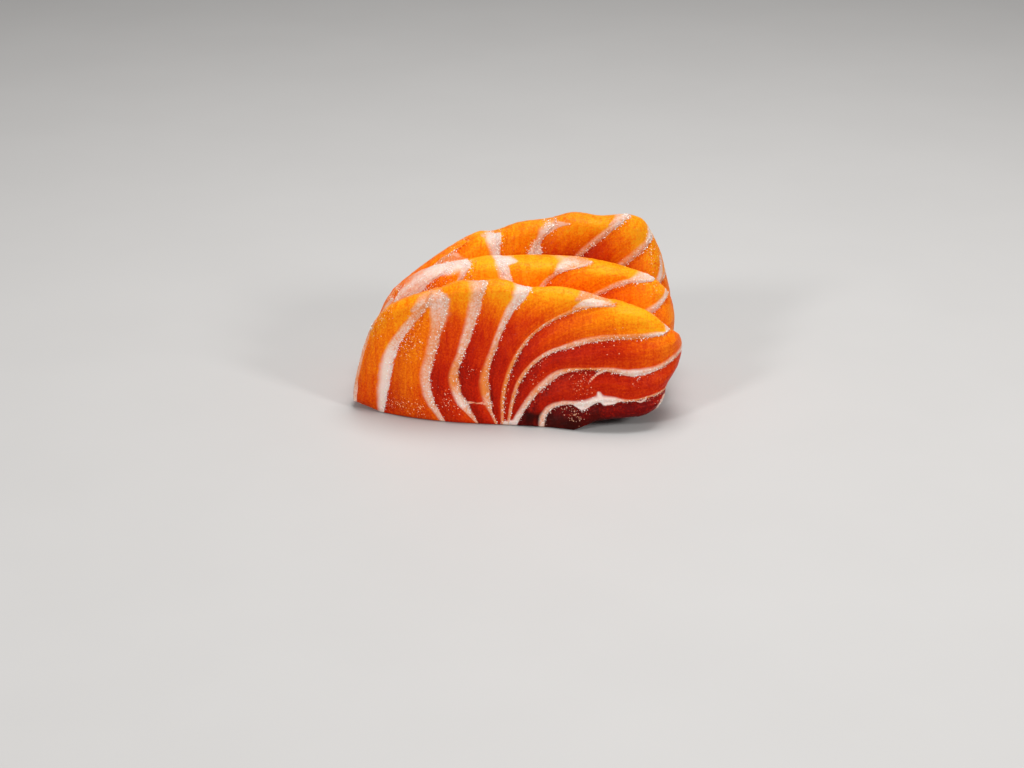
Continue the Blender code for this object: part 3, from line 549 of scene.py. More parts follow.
def edge_distance(outline, places):
    """How far each place lies inside the outline."""
    runs = np.roll(outline, -1, axis=0) - outline
    squares = np.maximum((runs ** 2).sum(axis=1), 1e-12)
    flat = places.reshape(-1, 2)
    out = np.empty(len(flat))
    batch = 4000
    for first in range(0, len(flat), batch):
        to = flat[first:first + batch, None, :] - outline[None]
        share = np.clip((to * runs).sum(axis=2) / squares, 0, 1)
        gaps = to - share[..., None] * runs
        out[first:first + batch] = np.sqrt((gaps ** 2).sum(axis=2).min(axis=1))
    return out.reshape(places.shape[:-1])


def rounding(distance, z):
    """How far the cut face has fallen back at this distance from the outline."""
    radius = FOOT_ROUND + (EDGE_ROUND - FOOT_ROUND) * ease((z - FOOT_START) / FOOT_BAND)
    inside = np.clip(1 - distance / radius, 0, 1)
    return radius * (1 - np.sqrt(1 - inside ** 2))


def segment_widths(sizes, columns, rows):
    """How wide each column's segment is along each row, with the segment's number and the share across."""
    last = len(sizes["lines"]) - 1
    k = np.minimum(columns.astype(int), last - 1)
    lines = fan_grid(sizes, np.arange(last + 1.0), rows)
    widths = np.linalg.norm(np.diff(lines, axis=0), axis=2)
    return k, columns - k, widths[k]


def relief(k, s, widths):
    """How far the flesh stands out of the cut face: a step down right of each septum, then a swell."""
    s = s[:, None]
    strength = ease(widths / FULL_SEGMENT)
    back_up = (1 - ease(s / STEP_SHARE)) * (k > 0)[:, None]
    step = -STEP_DEPTH * ease(s * widths / STEP_WIDTH) * back_up
    swell = FLESH_SWELL * np.sin(np.pi * s) ** 2
    return (step + swell) * strength


def slice_faces(sizes, behind, columns, rows):
    """The (x, y, z) of the front face's grid and of the back face's, and the middle of the outline."""
    outline = outline_of(sizes)
    last = len(sizes["lines"]) - 1
    fade = np.clip(np.minimum(columns, last - columns), 0, 1)
    stands = relief(*segment_widths(sizes, columns, rows))
    faces = []
    for back in (0.0, 1.0):
        flat = fan_grid(sizes, columns - back * FAT_SLANT * fade, rows)
        distance = edge_distance(outline, flat)
        x = flat[..., 0] * (1 - back * SHORTER)
        z = flat[..., 1] * (1 - back * along(sizes["taper"], x))
        if not back:
            depth = face_depth(sizes, x, z)
        elif behind is None:
            depth = face_depth(sizes, x, z) + sizes["thick"]
        else:
            depth = face_depth(behind, x, z) - PARTING - 2 * FLESH_SWELL
        depth += (rounding(distance, z) - stands * ease(distance / RELIEF_EDGE)) * (1 - 2 * back)
        faces.append(np.stack([x, depth, z], axis=-1))
    return faces, outline.mean(axis=0)


# ---------------------------------------------------------------- the fine mesh and what it carries


def crowded(count):
    """Shares from 0 to 1, closer together near both ends."""
    t = np.linspace(0, 1, count + 1)
    return (1 - EDGE_CROWD) * t + EDGE_CROWD * (0.5 - 0.5 * np.cos(np.pi * t))


def fine_columns(sizes):
    """Fan coordinates about one cell apart at each segment's widest."""
    last = len(sizes["lines"]) - 1
    some_rows = np.linspace(0, 1, 21)
    lines = fan_grid(sizes, np.arange(last + 1.0), some_rows)
    widest = np.linalg.norm(np.diff(lines, axis=0), axis=2).max(axis=1)
    columns = [0.0]
    for k in range(last):
        count = max(FEWEST_CELLS, math.ceil(widest[k] / CELL))
        shares = crowded(count) if k in (0, last - 1) else np.linspace(0, 1, count + 1)
        columns += list(k + shares[1:])
    return np.array(columns)


def box_skin(counts):
    """The lattice points on the skin of a box of cells, and its quads."""
    numbers = -np.ones([n + 1 for n in counts], int)
    index = np.indices(numbers.shape)
    ends = [(index[axis] == 0) | (index[axis] == counts[axis]) for axis in range(3)]
    skin = ends[0] | ends[1] | ends[2]
    numbers[skin] = np.arange(skin.sum())
    points = np.stack([index[axis][skin] for axis in range(3)], axis=1)
    quads = []
    for axis in range(3):
        for end in (0, counts[axis]):
            sheet = np.take(numbers, end, axis=axis)
            ring = [sheet[:-1, :-1], sheet[1:, :-1], sheet[1:, 1:], sheet[:-1, 1:]]
            if (end == 0) == (axis != 1):
                ring = ring[::-1]
            quads.append(np.stack([corner.ravel() for corner in ring], axis=1))
    return points, np.concatenate(quads)


FAR = 9.0  # half widths from any fat that count as no fat at all
THINNEST = 0.01  # no line of fat has a half width under this
FLANK_START = 0.8  # the ragged wet flank right of a septum is at this share of its half width
FLANK_WIDTH = 0.45  # and reaches about this far
FLANK_SEGMENT = 3.0  # a segment narrower than this has a weaker flank
DEEP_FADE = 2.4  # the deep red right of a septum fades over about this distance
DEEP_TONE = 0.26  # and is deeper by this
BLUSH_FADE = 1.8  # the lighter flesh left of a septum fades over this
BLUSH_TONE = 0.20  # and is lighter by this
GOLD_FADE = 7.0  # near the top, over about this distance, both get weaker
GOLD_CALM = 0.7  # by this share
THICKNESS = 11.0  # about how thick a slice is
FACE_LENGTH = 34.0  # about how long a septum is
SEGMENT_WIDTH = 6.0  # about how wide a segment is
UNDER_START = 0.02  # the muscle under the last septum is dark from this share of its segment on
UNDER_BAND = 0.1  # over this share
UNDER_TOP = 14.0  # and below this height
UNDER_FADE = 4.0  # over this distance
DARK_TONE = 0.50  # how dark it is
DARK_LOSS = 0.30  # and how much of that is lost at its right
DARK_END = 17.0  # from this x on
DARK_FADE = 5.0  # over this distance
HOLLOW = 5.5  # the segment before it is dark up to this height
HOLLOW_FADE = 3.0  # over this distance
HOLLOW_BAND = 0.2  # from its left septum on, over this share
HOLLOW_TONE = 0.62
OVER_RAGGED = 0.22  # how unevenly the fat goes over the rim
OVER_WAVES = 0.9  # waves of that in a millimetre along the slice, in radians
OVER_RIPPLES = 2.3  # and its smaller ripples
RIPPLE_SHARE = 0.6  # which are this high beside the waves
REAR_SMOOTH = 0.85  # how much less torn the lines of fat are behind the front face
SMOOTH_FOOT = 0.1  # up to this height the surface has no grain and no beads
LIFT_BAND = 1.2  # and they come in over this


def fat_reach(sizes, k, s, widths, rows):
    """How many half widths each place is from the nearest septum, its whiteness, its "over", the flank."""
    s = s[:, None]
    septa = len(sizes["fat"])
    table = np.zeros((septa + 2, 3, len(rows)))
    over = np.ones(septa + 2)
    for n, rows_of_fat in enumerate(sizes["fat"]):
        rows_of_fat = np.array(rows_of_fat)
        over[n + 1] = sizes["over"][n]
        for part in range(3):
            table[n + 1, part] = np.interp(rows, rows_of_fat[:, 0], rows_of_fat[:, part + 1])
    at_left = np.where((k > 0)[:, None], s * widths / np.maximum(table[k, 1], THINNEST), FAR)
    at_right = np.where(
        (k < septa)[:, None], (1 - s) * widths / np.maximum(table[k + 1, 0], THINNEST), FAR
    )
    is_left = at_left < at_right
    reach = np.minimum(np.minimum(at_left, at_right), FAR)
    white = np.where(is_left, table[k, 2], table[k + 1, 2])
    from_flank = (s * widths - FLANK_START * table[k, 1]) / FLANK_WIDTH
    flank = np.where((k > 0)[:, None], np.exp(-from_flank ** 2), 0.0)
    return reach, white, np.where(is_left, over[k][:, None], over[k + 1][:, None]), flank


def streak_reach(streak, places):
    """How many half widths each (x, z) is from a streak of fat, and the streak's whiteness there."""
    streak = np.array(streak, float)
    best = np.full(places.shape[:-1], FAR)
    white = np.zeros(places.shape[:-1])
    for start, end in zip(streak[:-1], streak[1:]):
        run = end[:2] - start[:2]
        share = np.clip(((places - start[:2]) @ run) / (run @ run), 0, 1)
        gap = np.linalg.norm(places - (start[:2] + share[..., None] * run), axis=-1)
        reach = gap / (start[2] + share * (end[2] - start[2]))
        nearer = reach < best
        best = np.where(nearer, reach, best)
        white = np.where(nearer, start[3] + share * (end[3] - start[3]), white)
    return best, white


def slice_marks(sizes, columns, rows):
    """What colours the slice's skin, as arrays over the grid of columns and rows, for its front face."""
    k, s, widths = segment_widths(sizes, columns, rows)
    last = len(sizes["lines"]) - 1
    reach, white, over, flank = fat_reach(sizes, k, s, widths, rows)
    s = s[:, None]
    full = ease(widths / FULL_SEGMENT)
    middles = np.arange(last) + 0.5
    up = np.stack([np.interp(rows, TONE_SHARES, one) for one in np.eye(len(TONE_SHARES))])
    # Tone and painted shade for each column and row. The tone is partly painted light from above.
    tone, painted_shade = (
        np.stack([np.interp(columns, middles, level) for level in np.transpose(sizes[key])]).T @ up
        for key in ("tones", "painted_shades")
    )
    deep = (k > 0)[:, None] * np.exp(-s * widths / DEEP_FADE) * full
    blush = (k < last - 1)[:, None] * np.exp(-(1 - s) * widths / BLUSH_FADE) * full
    gold = np.exp(-(1 - rows) * FACE_LENGTH / GOLD_FADE)
    tone = tone + (BLUSH_TONE * blush - DEEP_TONE * deep) * (1 - GOLD_CALM * gold)
    return {
        "reach": reach,
        "white": white,
        "over": over,
        "left": ease(s) * np.ones_like(widths),
        "flank": flank * ease(widths / FLANK_SEGMENT),
        "tone": tone,
        "painted_shade": painted_shade,
        # "top", nearness to the top, darkens the fat there as painted shade.
        "top": gold * np.ones_like(widths),
    }


def between_faces(front, back, through, centre):
    """Places between the two cut faces, where the rim swells out a little."""
    places = front + through[:, None] * (back - front)
    out = places[:, [0, 2]] - centre
    out /= np.linalg.norm(out, axis=1)[:, None]
    swell = RIM_SWELL * 4 * through * (1 - through) * ease(places[:, 2] / RIM_RISE)
    places[:, 0] += swell * out[:, 0]
    places[:, 2] += swell * out[:, 1]
    return places


def all_fat(sizes, grid, flat, places, through):
    """How many half widths each place is from any fat, and that fat's whiteness."""
    rim = 1 - np.abs(2 * through - 1)
    waves = np.sin(OVER_WAVES * places[:, 0] + places[:, 2])
    ripples = np.sin(OVER_RIPPLES * places[:, 0] - places[:, 2])
    ragged = 1 + OVER_RAGGED * (waves + RIPPLE_SHARE * ripples)
    reach = np.sqrt(grid["reach"] ** 2 + (rim / (grid["over"] * ragged)) ** 2)
    white = grid["white"]
    for over, streak in sizes["streaks"]:
        gap, streak_white = streak_reach(streak, flat)
        gap = np.sqrt(gap ** 2 + (through / (over * ragged)) ** 2)
        nearer = gap < reach
        white = np.where(nearer, streak_white, white)
        reach = np.where(nearer, gap, reach)
    return np.minimum(reach, FAR), white


def torn(sizes, flank, flat, through):
    """How torn and beaded the flesh is at each place."""
    grainy = flank * (1 - REAR_SMOOTH * ease(through * 2))
    for x, z, size, strength in sizes["grainy"]:
        gap = np.hypot(flat[:, 0] - x, flat[:, 1] - z) / size
        grainy = np.maximum(grainy, strength * np.exp(-gap ** 2) * (through < 0.5))
    return grainy


def dark_muscle(sizes, column, places):
    """How dark the muscle round the last septum is at each place."""
    past = column - len(sizes["fat"])
    x, z = places[:, 0], places[:, 2]
    under = ease((past - UNDER_START) / UNDER_BAND) * ease((UNDER_TOP - z) / UNDER_FADE)
    dark = under * (DARK_TONE - DARK_LOSS * ease((x - DARK_END) / DARK_FADE))
    hollow = ease((past + 1) / HOLLOW_BAND) * ease((HOLLOW - z) / HOLLOW_FADE)
    return np.maximum(dark, HOLLOW_TONE * hollow)


def slice_mesh(sizes, behind, columns, rows):
    """Places (in millimetres) and quads of the slice's skin, and what colours it, for each point."""
    faces, centre = slice_faces(sizes, behind, columns, rows)
    points, quads = box_skin((len(columns) - 1, len(rows) - 1, DEEP_CELLS))
    i, j = points[:, 0], points[:, 1]
    through = points[:, 2] / DEEP_CELLS
    places = between_faces(faces[0][i, j], faces[1][i, j], through, centre)
    flat = faces[0][i, j][:, [0, 2]]
    grid = {key: values[i, j] for key, values in slice_marks(sizes, columns, rows).items()}
    reach, white = all_fat(sizes, grid, flat, places, through)
    marks = {
        "fat_reach": reach,
        "fat_white": white,
        "fat_left": grid["left"],
        "grainy": torn(sizes, grid["flank"], flat, through),
        "tone": np.clip(grid["tone"], 0.0, 1.0),
        # The painted shade, and nearness to the top for the fat's own painted shade.
        "painted_shade": grid["painted_shade"],
        "top": grid["top"],
        "dark": dark_muscle(sizes, columns[i], places),
        "lift": ease((places[:, 2] - SMOOTH_FOOT) / LIFT_BAND),
    }
    deep = through * THICKNESS
    fibre = np.stack([columns[i] * SEGMENT_WIDTH, rows[j] * FACE_LENGTH + deep, deep], axis=1)
    return places, quads, marks, fibre


def store(data, name, kind, values):
    """Keeps one value for each point of the mesh as a named attribute."""
    made = data.attributes.new(name, kind, "POINT")
    part = "vector" if kind == "FLOAT_VECTOR" else "value"
    made.data.foreach_set(part, values.astype(np.float32).ravel())


def signed_volume(places, quads):
    """The mesh's volume, negative where it is inside out."""
    corners = places[quads]
    first = np.cross(corners[:, 1] - corners[:, 0], corners[:, 2] - corners[:, 0])
    second = np.cross(corners[:, 2] - corners[:, 0], corners[:, 3] - corners[:, 0])
    return ((first + second) * corners[:, 0]).sum() / 6


def slice_object(name, places, quads, marks, fibre):
    """The slice as a mesh object in metres, with what colours it."""
    if signed_volume(places, quads) < 0:
        quads = quads[:, ::-1]
    data = bpy.data.meshes.new(name)
    data.vertices.add(len(places))
    data.vertices.foreach_set("co", (places * MM).astype(np.float32).ravel())
    data.loops.add(quads.size)
    data.loops.foreach_set("vertex_index", quads.astype(np.int32).ravel())
    data.polygons.add(len(quads))
    data.polygons.foreach_set("loop_start", np.arange(0, quads.size, 4, dtype=np.int32))
    data.update(calc_edges=True)
    for key, values in marks.items():
        store(data, key, "FLOAT", values)
    store(data, "fibre", "FLOAT_VECTOR", fibre)
    data.shade_smooth()
    data.validate()
    piece = bpy.data.objects.new(name, data)
    bpy.context.scene.collection.objects.link(piece)
    return piece


# ---------------------------------------------------------------- node helpers


def add(tree, kind, inputs=None, **settings):
    """A node of this kind. A socket given as an input's value is linked to it."""
    made = tree.nodes.new(kind)
    for name, value in settings.items():
        setattr(made, name, value)
    for name, value in (inputs or {}).items():
        socket = made.inputs[name]
        if isinstance(value, bpy.types.NodeSocket):
            tree.links.new(value, socket)
        else:
            socket.default_value = value
    return made


def maths(tree, operation, first, second=0.0, third=0.0):
    """The result of one sum on numbers or sockets."""
    made = add(tree, "ShaderNodeMath", {0: first, 1: second, 2: third}, operation=operation)
    return made.outputs[0]


def noise(tree, place, size, detail=2.0, roughness=0.5):
    """Noise from -0.5 to 0.5 whose lumps are about this size, in the place's own unit."""
    made = add(
        tree, "ShaderNodeTexNoise",
        {"Vector": place, "Scale": 1.0 / size, "Detail": detail, "Roughness": roughness},
    )
    return maths(tree, "SUBTRACT", made.outputs[0], 0.5)


def scaled(tree, vector, share):
    """The vector or colour times a number."""
    return add(tree, "ShaderNodeVectorMath", {0: vector, "Scale": share}, operation="SCALE").outputs[0]


def stretched(tree, place, shares):
    """The place with each of its parts scaled."""
    return add(tree, "ShaderNodeVectorMath", {0: place, 1: shares}, operation="MULTIPLY").outputs[0]


def new_geometry_tree(name, inputs):
    """An empty tree with a geometry in and out and these named inputs, and its two end nodes."""
    tree = bpy.data.node_groups.new(name, "GeometryNodeTree")
    tree.interface.new_socket("Geometry", in_out="INPUT", socket_type="NodeSocketGeometry")
    for label, kind in inputs:
        tree.interface.new_socket(label, in_out="INPUT", socket_type=kind)
    tree.interface.new_socket("Geometry", in_out="OUTPUT", socket_type="NodeSocketGeometry")
    return tree, tree.nodes.new("NodeGroupInput"), tree.nodes.new("NodeGroupOutput")


def named(tree, name, kind="FLOAT"):
    """The value of a named attribute."""
    return add(tree, "GeometryNodeInputNamedAttribute", {"Name": name}, data_type=kind).outputs[0]


def finish_tree(tree, geometry, material, end):
    """Makes real geometry of what the tree holds and gives it its material."""
    real = add(tree, "GeometryNodeRealizeInstances", {"Geometry": geometry})
    coloured = add(tree, "GeometryNodeSetMaterial", {"Geometry": real.outputs[0], "Material": material})
    tree.links.new(coloured.outputs[0], end.inputs["Geometry"])


def settle(piece, tree, values):
    """Runs the tree on the piece and keeps the result as its plain mesh."""
    modifier = piece.modifiers.new(tree.name, "NODES")
    modifier.node_group = tree
    for item in tree.interface.items_tree:
        if item.item_type == "SOCKET" and item.in_out == "INPUT" and item.name in values:
            modifier[item.identifier] = values[item.name]
    graph = bpy.context.evaluated_depsgraph_get()
    made = bpy.data.meshes.new_from_object(
        piece.evaluated_get(graph), preserve_all_data_layers=True, depsgraph=graph
    )
    piece.modifiers.remove(modifier)
    old = piece.data
    piece.data = made
    bpy.data.meshes.remove(old)
    made.name = piece.name
    return piece


# ---------------------------------------------------------------- trees that finish the surface

FLOAT = "NodeSocketFloat"
FIBRE_STRETCH = (1.0, 0.12, 0.12)  # fibres are this much finer across than along and through
GRAIN_ROUGHNESS = 0.55
BEAD_WIDTH = 1.15  # how wide a bead is, in half lengths
BEAD_HEIGHT = 0.6  # and how high
BEAD_RARITY = 2.0  # the higher, the fewer large beads among the small ones


def lumps(tree, place, size, height, detail):
    """Noise for a surface, with lumps of this size and height."""
    scale = maths(tree, "DIVIDE", 1.0, size)
    made = add(
        tree, "ShaderNodeTexNoise",
        {"Vector": place, "Scale": scale, "Detail": detail, "Roughness": GRAIN_ROUGHNESS},
    )
    return maths(tree, "MULTIPLY", maths(tree, "SUBTRACT", made.outputs[0], 0.5), height)


def flesh_grain_tree():
    """Raises the fat a little and gives the flesh its fibres, grain and ragged wet edges."""
    tree, start, end = new_geometry_tree(
        "flesh_grain",
        (
            ("Material", "NodeSocketMaterial"), ("Fat height", FLOAT), ("Fibre height", FLOAT),
            ("Fibre spacing", FLOAT), ("Grain height", FLOAT), ("Grain size", FLOAT),
            ("Ragged height", FLOAT), ("Ragged size", FLOAT),
        ),
    )
    given = start.outputs
    place = tree.nodes.new("GeometryNodeInputPosition").outputs[0]
    normal = tree.nodes.new("GeometryNodeInputNormal").outputs[0]
    fibre = stretched(tree, named(tree, "fibre", "FLOAT_VECTOR"), FIBRE_STRETCH)
    reach = named(tree, "fat_reach")
    fat = maths(tree, "SUBTRACT", 1.0, maths(tree, "MULTIPLY", reach, reach))
    fat = maths(tree, "MAXIMUM", fat, 0.0)
    flesh = maths(tree, "SUBTRACT", 1.0, fat)
    ridges = lumps(tree, fibre, given["Fibre spacing"], given["Fibre height"], 2.0)
    ridges = maths(tree, "MULTIPLY", ridges, flesh)
    grain = lumps(tree, place, given["Grain size"], given["Grain height"], 3.0)
    ragged = lumps(tree, place, given["Ragged size"], given["Ragged height"], 3.0)
    ragged = maths(tree, "MULTIPLY", ragged, named(tree, "grainy"))
    height = maths(tree, "MULTIPLY", fat, given["Fat height"])
    for part in (ridges, grain, ragged):
        height = maths(tree, "ADD", height, part)
    height = maths(tree, "MULTIPLY", height, named(tree, "lift"))
    offset = scaled(tree, normal, height)
    moved = add(tree, "GeometryNodeSetPosition", {"Geometry": given["Geometry"], "Offset": offset})
    finish_tree(tree, moved.outputs[0], given["Material"], end)
    return tree


def wet_beads_tree():
    """Scatters small flat beads of torn fat and moisture over the ragged strips."""
    tree, start, end = new_geometry_tree(
        "wet_beads",
        (
            ("Material", "NodeSocketMaterial"), ("Beads per square metre", FLOAT), ("Smallest", FLOAT),
            ("Largest", FLOAT), ("Seed", "NodeSocketInt"),
        ),
    )
    given = start.outputs
    density = maths(tree, "MULTIPLY", named(tree, "beads"), given["Beads per square metre"])
    points = add(
        tree, "GeometryNodeDistributePointsOnFaces",
        {"Mesh": given["Geometry"], "Density": density, "Seed": given["Seed"]},
    )
    bead = add(tree, "GeometryNodeMeshIcoSphere", {"Radius": 1.0, "Subdivisions": 1})
    smooth = add(tree, "GeometryNodeSetShadeSmooth", {"Geometry": bead.outputs[0]})
    random = add(tree, "FunctionNodeRandomValue", {"Seed": given["Seed"]}, data_type="FLOAT")
    shares = maths(tree, "POWER", random.outputs[1], BEAD_RARITY)
    span = maths(tree, "SUBTRACT", given["Largest"], given["Smallest"])
    radius = maths(tree, "MULTIPLY_ADD", shares, span, given["Smallest"])
    width = maths(tree, "MULTIPLY", radius, BEAD_WIDTH)
    height = maths(tree, "MULTIPLY", radius, BEAD_HEIGHT)
    flat = add(tree, "ShaderNodeCombineXYZ", {"X": width, "Y": radius, "Z": height})
    placed = add(
        tree, "GeometryNodeInstanceOnPoints",
        {
            "Points": points.outputs["Points"], "Instance": smooth.outputs[0],
            "Rotation": points.outputs["Rotation"], "Scale": flat.outputs[0],
        },
    )
    finish_tree(tree, placed.outputs[0], given["Material"], end)
    return tree


# ---------------------------------------------------------------- materials

# sRGB colours from the flesh's deepest to its lightest, with the tone that each is at. The yellow
# oranges at the light end, used towards the top, are partly painted light from above.
FLESH = (
    (0.0, (98, 5, 5)),
    (0.15, (154, 20, 4)),
    (0.3, (188, 29, 4)),
    (0.45, (208, 50, 4)),
    (0.6, (226, 75, 4)),
    (0.75, (243, 109, 5)),
    (0.88, (255, 136, 8)),
    (1.0, (255, 166, 20)),
)
FAT_PEACH = (242, 140, 64)
FAT_WHITE = (252, 231, 220)
DARK_FLESH = (52, 6, 3)
# Painted glint colours for the beads, an orange and a white.
PAINTED_GLINT_ORANGE = (255, 205, 150)
PAINTED_GLINT_WHITE = (255, 250, 244)
BOARD_GREYS = ((188, 186, 184), (190, 188, 186))


def linear(colour):
    """An sRGB colour of 0 to 255 as linear values."""
    shares = [v / 255 for v in colour]
    return tuple(v / 12.92 if v <= 0.04045 else ((v + 0.055) / 1.055) ** 2.4 for v in shares) + (1.0,)


def attribute(tree, name, output="Fac"):
    """What the mesh carries under this name."""
    return add(tree, "ShaderNodeAttribute", attribute_name=name, attribute_type="GEOMETRY").outputs[output]


def mix(tree, share, first, second, blend="MIX"):
    """The mix of two colours."""
    made = add(tree, "ShaderNodeMix", {0: share, 6: first, 7: second}, data_type="RGBA", blend_type=blend)
    return made.outputs[2]


def ramp(tree, value, stops):
    """A colour ramp over the value."""
    made = add(tree, "ShaderNodeValToRGB", {0: value})
    elements = made.color_ramp.elements
    while len(elements) > 1:
        elements.remove(elements[-1])
    elements[0].position = stops[0][0]
    elements[0].color = linear(stops[0][1])
    for position, colour in stops[1:]:
        elements.new(position).color = linear(colour)
    return made.outputs[0]


def between(tree, value, low, high, to_low=0.0, to_high=1.0):
    """The value eased from low to high, then kept at the ends."""
    made = add(
        tree, "ShaderNodeMapRange",
        {"Value": value, "From Min": low, "From Max": high, "To Min": to_low, "To Max": to_high},
        interpolation_type="SMOOTHSTEP",
    )
    return made.outputs[0]


def new_material(name):
    """A material with its tree, its shader and the place on the piece."""
    material = bpy.data.materials.new(name)
    material.use_nodes = True
    tree = material.node_tree
    place = tree.nodes.new("ShaderNodeTexCoord").outputs["Object"]
    return material, tree, tree.nodes["Principled BSDF"], place


def flesh_share(tree, place, crumbs):
    """1 in the flesh and 0 in the fat, whose edge wanders and frays. Its left side melts into the flesh."""
    left = attribute(tree, "fat_left")
    wander = noise(tree, place, 2.2 * MM, 3.0)
    reach = maths(tree, "MULTIPLY_ADD", wander, 0.8, attribute(tree, "fat_reach"))
    reach = maths(tree, "MULTIPLY_ADD", crumbs, 0.75, reach)
    near = maths(tree, "MULTIPLY_ADD", left, -0.55, 0.88)
    far = maths(tree, "MULTIPLY_ADD", left, 0.8, 1.15)
    return between(tree, reach, near, far)


def flesh_colour(tree, place, fibres, crumbs, grainy, painted_shade):
    """Red to yellow orange by the tone, which fibres, faint knife lines, blotches and crumbs move, then
    darkened by painted shade. The yellow orange towards the top is partly painted light from above.
    """
    knife_lines = noise(tree, stretched(tree, place, (1.0, 0.4, 0.1)), 0.7 * MM, 2.0)
    blotches = noise(tree, place, 3.5 * MM, 3.0)
    tone = maths(tree, "MULTIPLY_ADD", noise(tree, fibres, 0.5, 3.0, 0.6), 0.28, attribute(tree, "tone"))
    tone = maths(tree, "MULTIPLY_ADD", knife_lines, 0.24, tone)
    tone = maths(tree, "MULTIPLY_ADD", blotches, 0.20, tone)
    tone = maths(tree, "MULTIPLY_ADD", crumbs, 0.6, tone)
    tone = maths(tree, "MULTIPLY_ADD", crumbs, grainy, tone)
    dark = maths(tree, "MULTIPLY_ADD", blotches, 0.8, attribute(tree, "dark"))
    flesh = mix(tree, between(tree, dark, 0.3, 0.8), ramp(tree, tone, FLESH), linear(DARK_FLESH))
    return scaled(tree, flesh, painted_shade)


def fat_colour(tree, place, crumbs, painted_shade):
    """Peach where the fat is thin to white where it is thick, darkened with the flesh by painted shade, and
    a little more at the top, which is painted shade too.
    """
    pale = maths(tree, "MULTIPLY_ADD", noise(tree, place, 1.3 * MM, 3.0), 0.7, attribute(tree, "fat_white"))
    pale = maths(tree, "MULTIPLY_ADD", crumbs, 1.4, pale)
    colour = mix(tree, between(tree, pale, 0.0, 1.1), linear(FAT_PEACH), linear(FAT_WHITE))
    # Painted shade: three quarters of the flesh's painted shade, and a little more near the top.
    painted_shade = maths(tree, "MULTIPLY_ADD", painted_shade, 0.75, 0.25)
    painted_shade = maths(tree, "MULTIPLY_ADD", attribute(tree, "top"), -0.17, painted_shade)
    return scaled(tree, colour, painted_shade)


def fine_bump(tree, fibres, crumbs, grainy, fat):
    """The finest fibres and grain, and the fat's slight rise."""
    ridges = maths(tree, "MULTIPLY", noise(tree, fibres, 0.3, 2.0, 0.6), 0.10)
    grain = maths(tree, "MULTIPLY", crumbs, maths(tree, "MULTIPLY_ADD", grainy, 0.35, 0.14))
    height = maths(tree, "MULTIPLY_ADD", fat, 0.06, maths(tree, "ADD", ridges, grain))
    return add(tree, "ShaderNodeBump", {"Strength": 1.0, "Distance": MM, "Height": height}).outputs[0]


def raw_salmon():
    """Moist raw salmon: red-orange flesh with fine fibres, white fat whose right edge is the sharper."""
    material, tree, shader, place = new_material("raw_salmon")
    grainy = attribute(tree, "grainy")
    # Painted shade, kept on the slices, darkens the flesh and the fat.
    painted_shade = attribute(tree, "painted_shade")
    crumbs = noise(tree, place, 0.42 * MM, 3.0, 0.65)
    fibres = stretched(tree, attribute(tree, "fibre", "Vector"), (1.0, 0.1, 0.1))
    share = flesh_share(tree, place, crumbs)
    flesh = flesh_colour(tree, place, fibres, crumbs, grainy, painted_shade)
    fat = mix(tree, 0.08, fat_colour(tree, place, crumbs, painted_shade), flesh)
    tree.links.new(mix(tree, share, fat, flesh), shader.inputs["Base Color"])
    rough = between(tree, noise(tree, place, 1.1 * MM, 3.0), -0.3, 0.3, 0.26, 0.5)
    tree.links.new(rough, shader.inputs["Roughness"])
    bump = fine_bump(tree, fibres, crumbs, grainy, maths(tree, "SUBTRACT", 1.0, share))
    tree.links.new(bump, shader.inputs["Normal"])
    tree.links.new(bump, shader.inputs["Coat Normal"])
    shader.inputs["Subsurface Weight"].default_value = 0.15
    shader.inputs["Subsurface Scale"].default_value = MM
    shader.inputs["Subsurface Radius"].default_value = (1.2, 0.35, 0.12)
    shader.inputs["IOR"].default_value = 1.4
    shader.inputs["Specular IOR Level"].default_value = 0.05
    shader.inputs["Coat Weight"].default_value = 0.05
    shader.inputs["Coat Roughness"].default_value = 0.12
    return material


def wet_bead():
    """Glossy crumbs of torn flesh and fat with moisture on them, coloured as painted glints: lighter than
    the flesh round them and mixed with orange, and whiter near fat, which is partly the fat's own white.
    """
    material, tree, shader, place = new_material("wet_bead")
    # Painted glint: each bead is lighter than the flesh round it.
    tone = maths(tree, "ADD", attribute(tree, "tone"), 0.28)
    tone = maths(tree, "MULTIPLY_ADD", noise(tree, place, 0.6 * MM, 2.0), 0.5, tone)
    share = maths(tree, "MULTIPLY_ADD", noise(tree, place, 0.5 * MM, 2.0), 0.8, attribute(tree, "pale"))
    share = between(tree, share, -0.2, 0.7)
    painted_glint_flesh = mix(tree, 0.5, ramp(tree, tone, FLESH), linear(PAINTED_GLINT_ORANGE))
    colour = mix(tree, share, painted_glint_flesh, linear(PAINTED_GLINT_WHITE))
    tree.links.new(colour, shader.inputs["Base Color"])
    rough = between(tree, noise(tree, place, 0.5 * MM), -0.3, 0.3, 0.08, 0.22)
    tree.links.new(rough, shader.inputs["Roughness"])
    shader.inputs["Coat Weight"].default_value = 1.0
    shader.inputs["Coat Roughness"].default_value = 0.05
    return material


def pale_board():
    """The pale matt surface that the slices stand on."""
    material, tree, shader, place = new_material("pale_board")
    share = between(tree, noise(tree, place, 40 * MM, 4.0), -0.3, 0.3)
    tree.links.new(mix(tree, share, *map(linear, BOARD_GREYS)), shader.inputs["Base Color"])
    shader.inputs["Roughness"].default_value = 0.6
    return material


# ---------------------------------------------------------------- making


def row_shift(skins):
    """What takes the row from where its sizes are given to where the solids stand."""
    low = np.min([places.min(axis=0) for places in skins], axis=0)
    high = np.max([places.max(axis=0) for places in skins], axis=0)
    solid_low = np.array(cad_box[0]) / MM
    solid_high = np.array(cad_box[1]) / MM
    shift = (low + high - solid_low - solid_high) / 2
    shift[2] = low[2] - solid_low[2]
    return shift


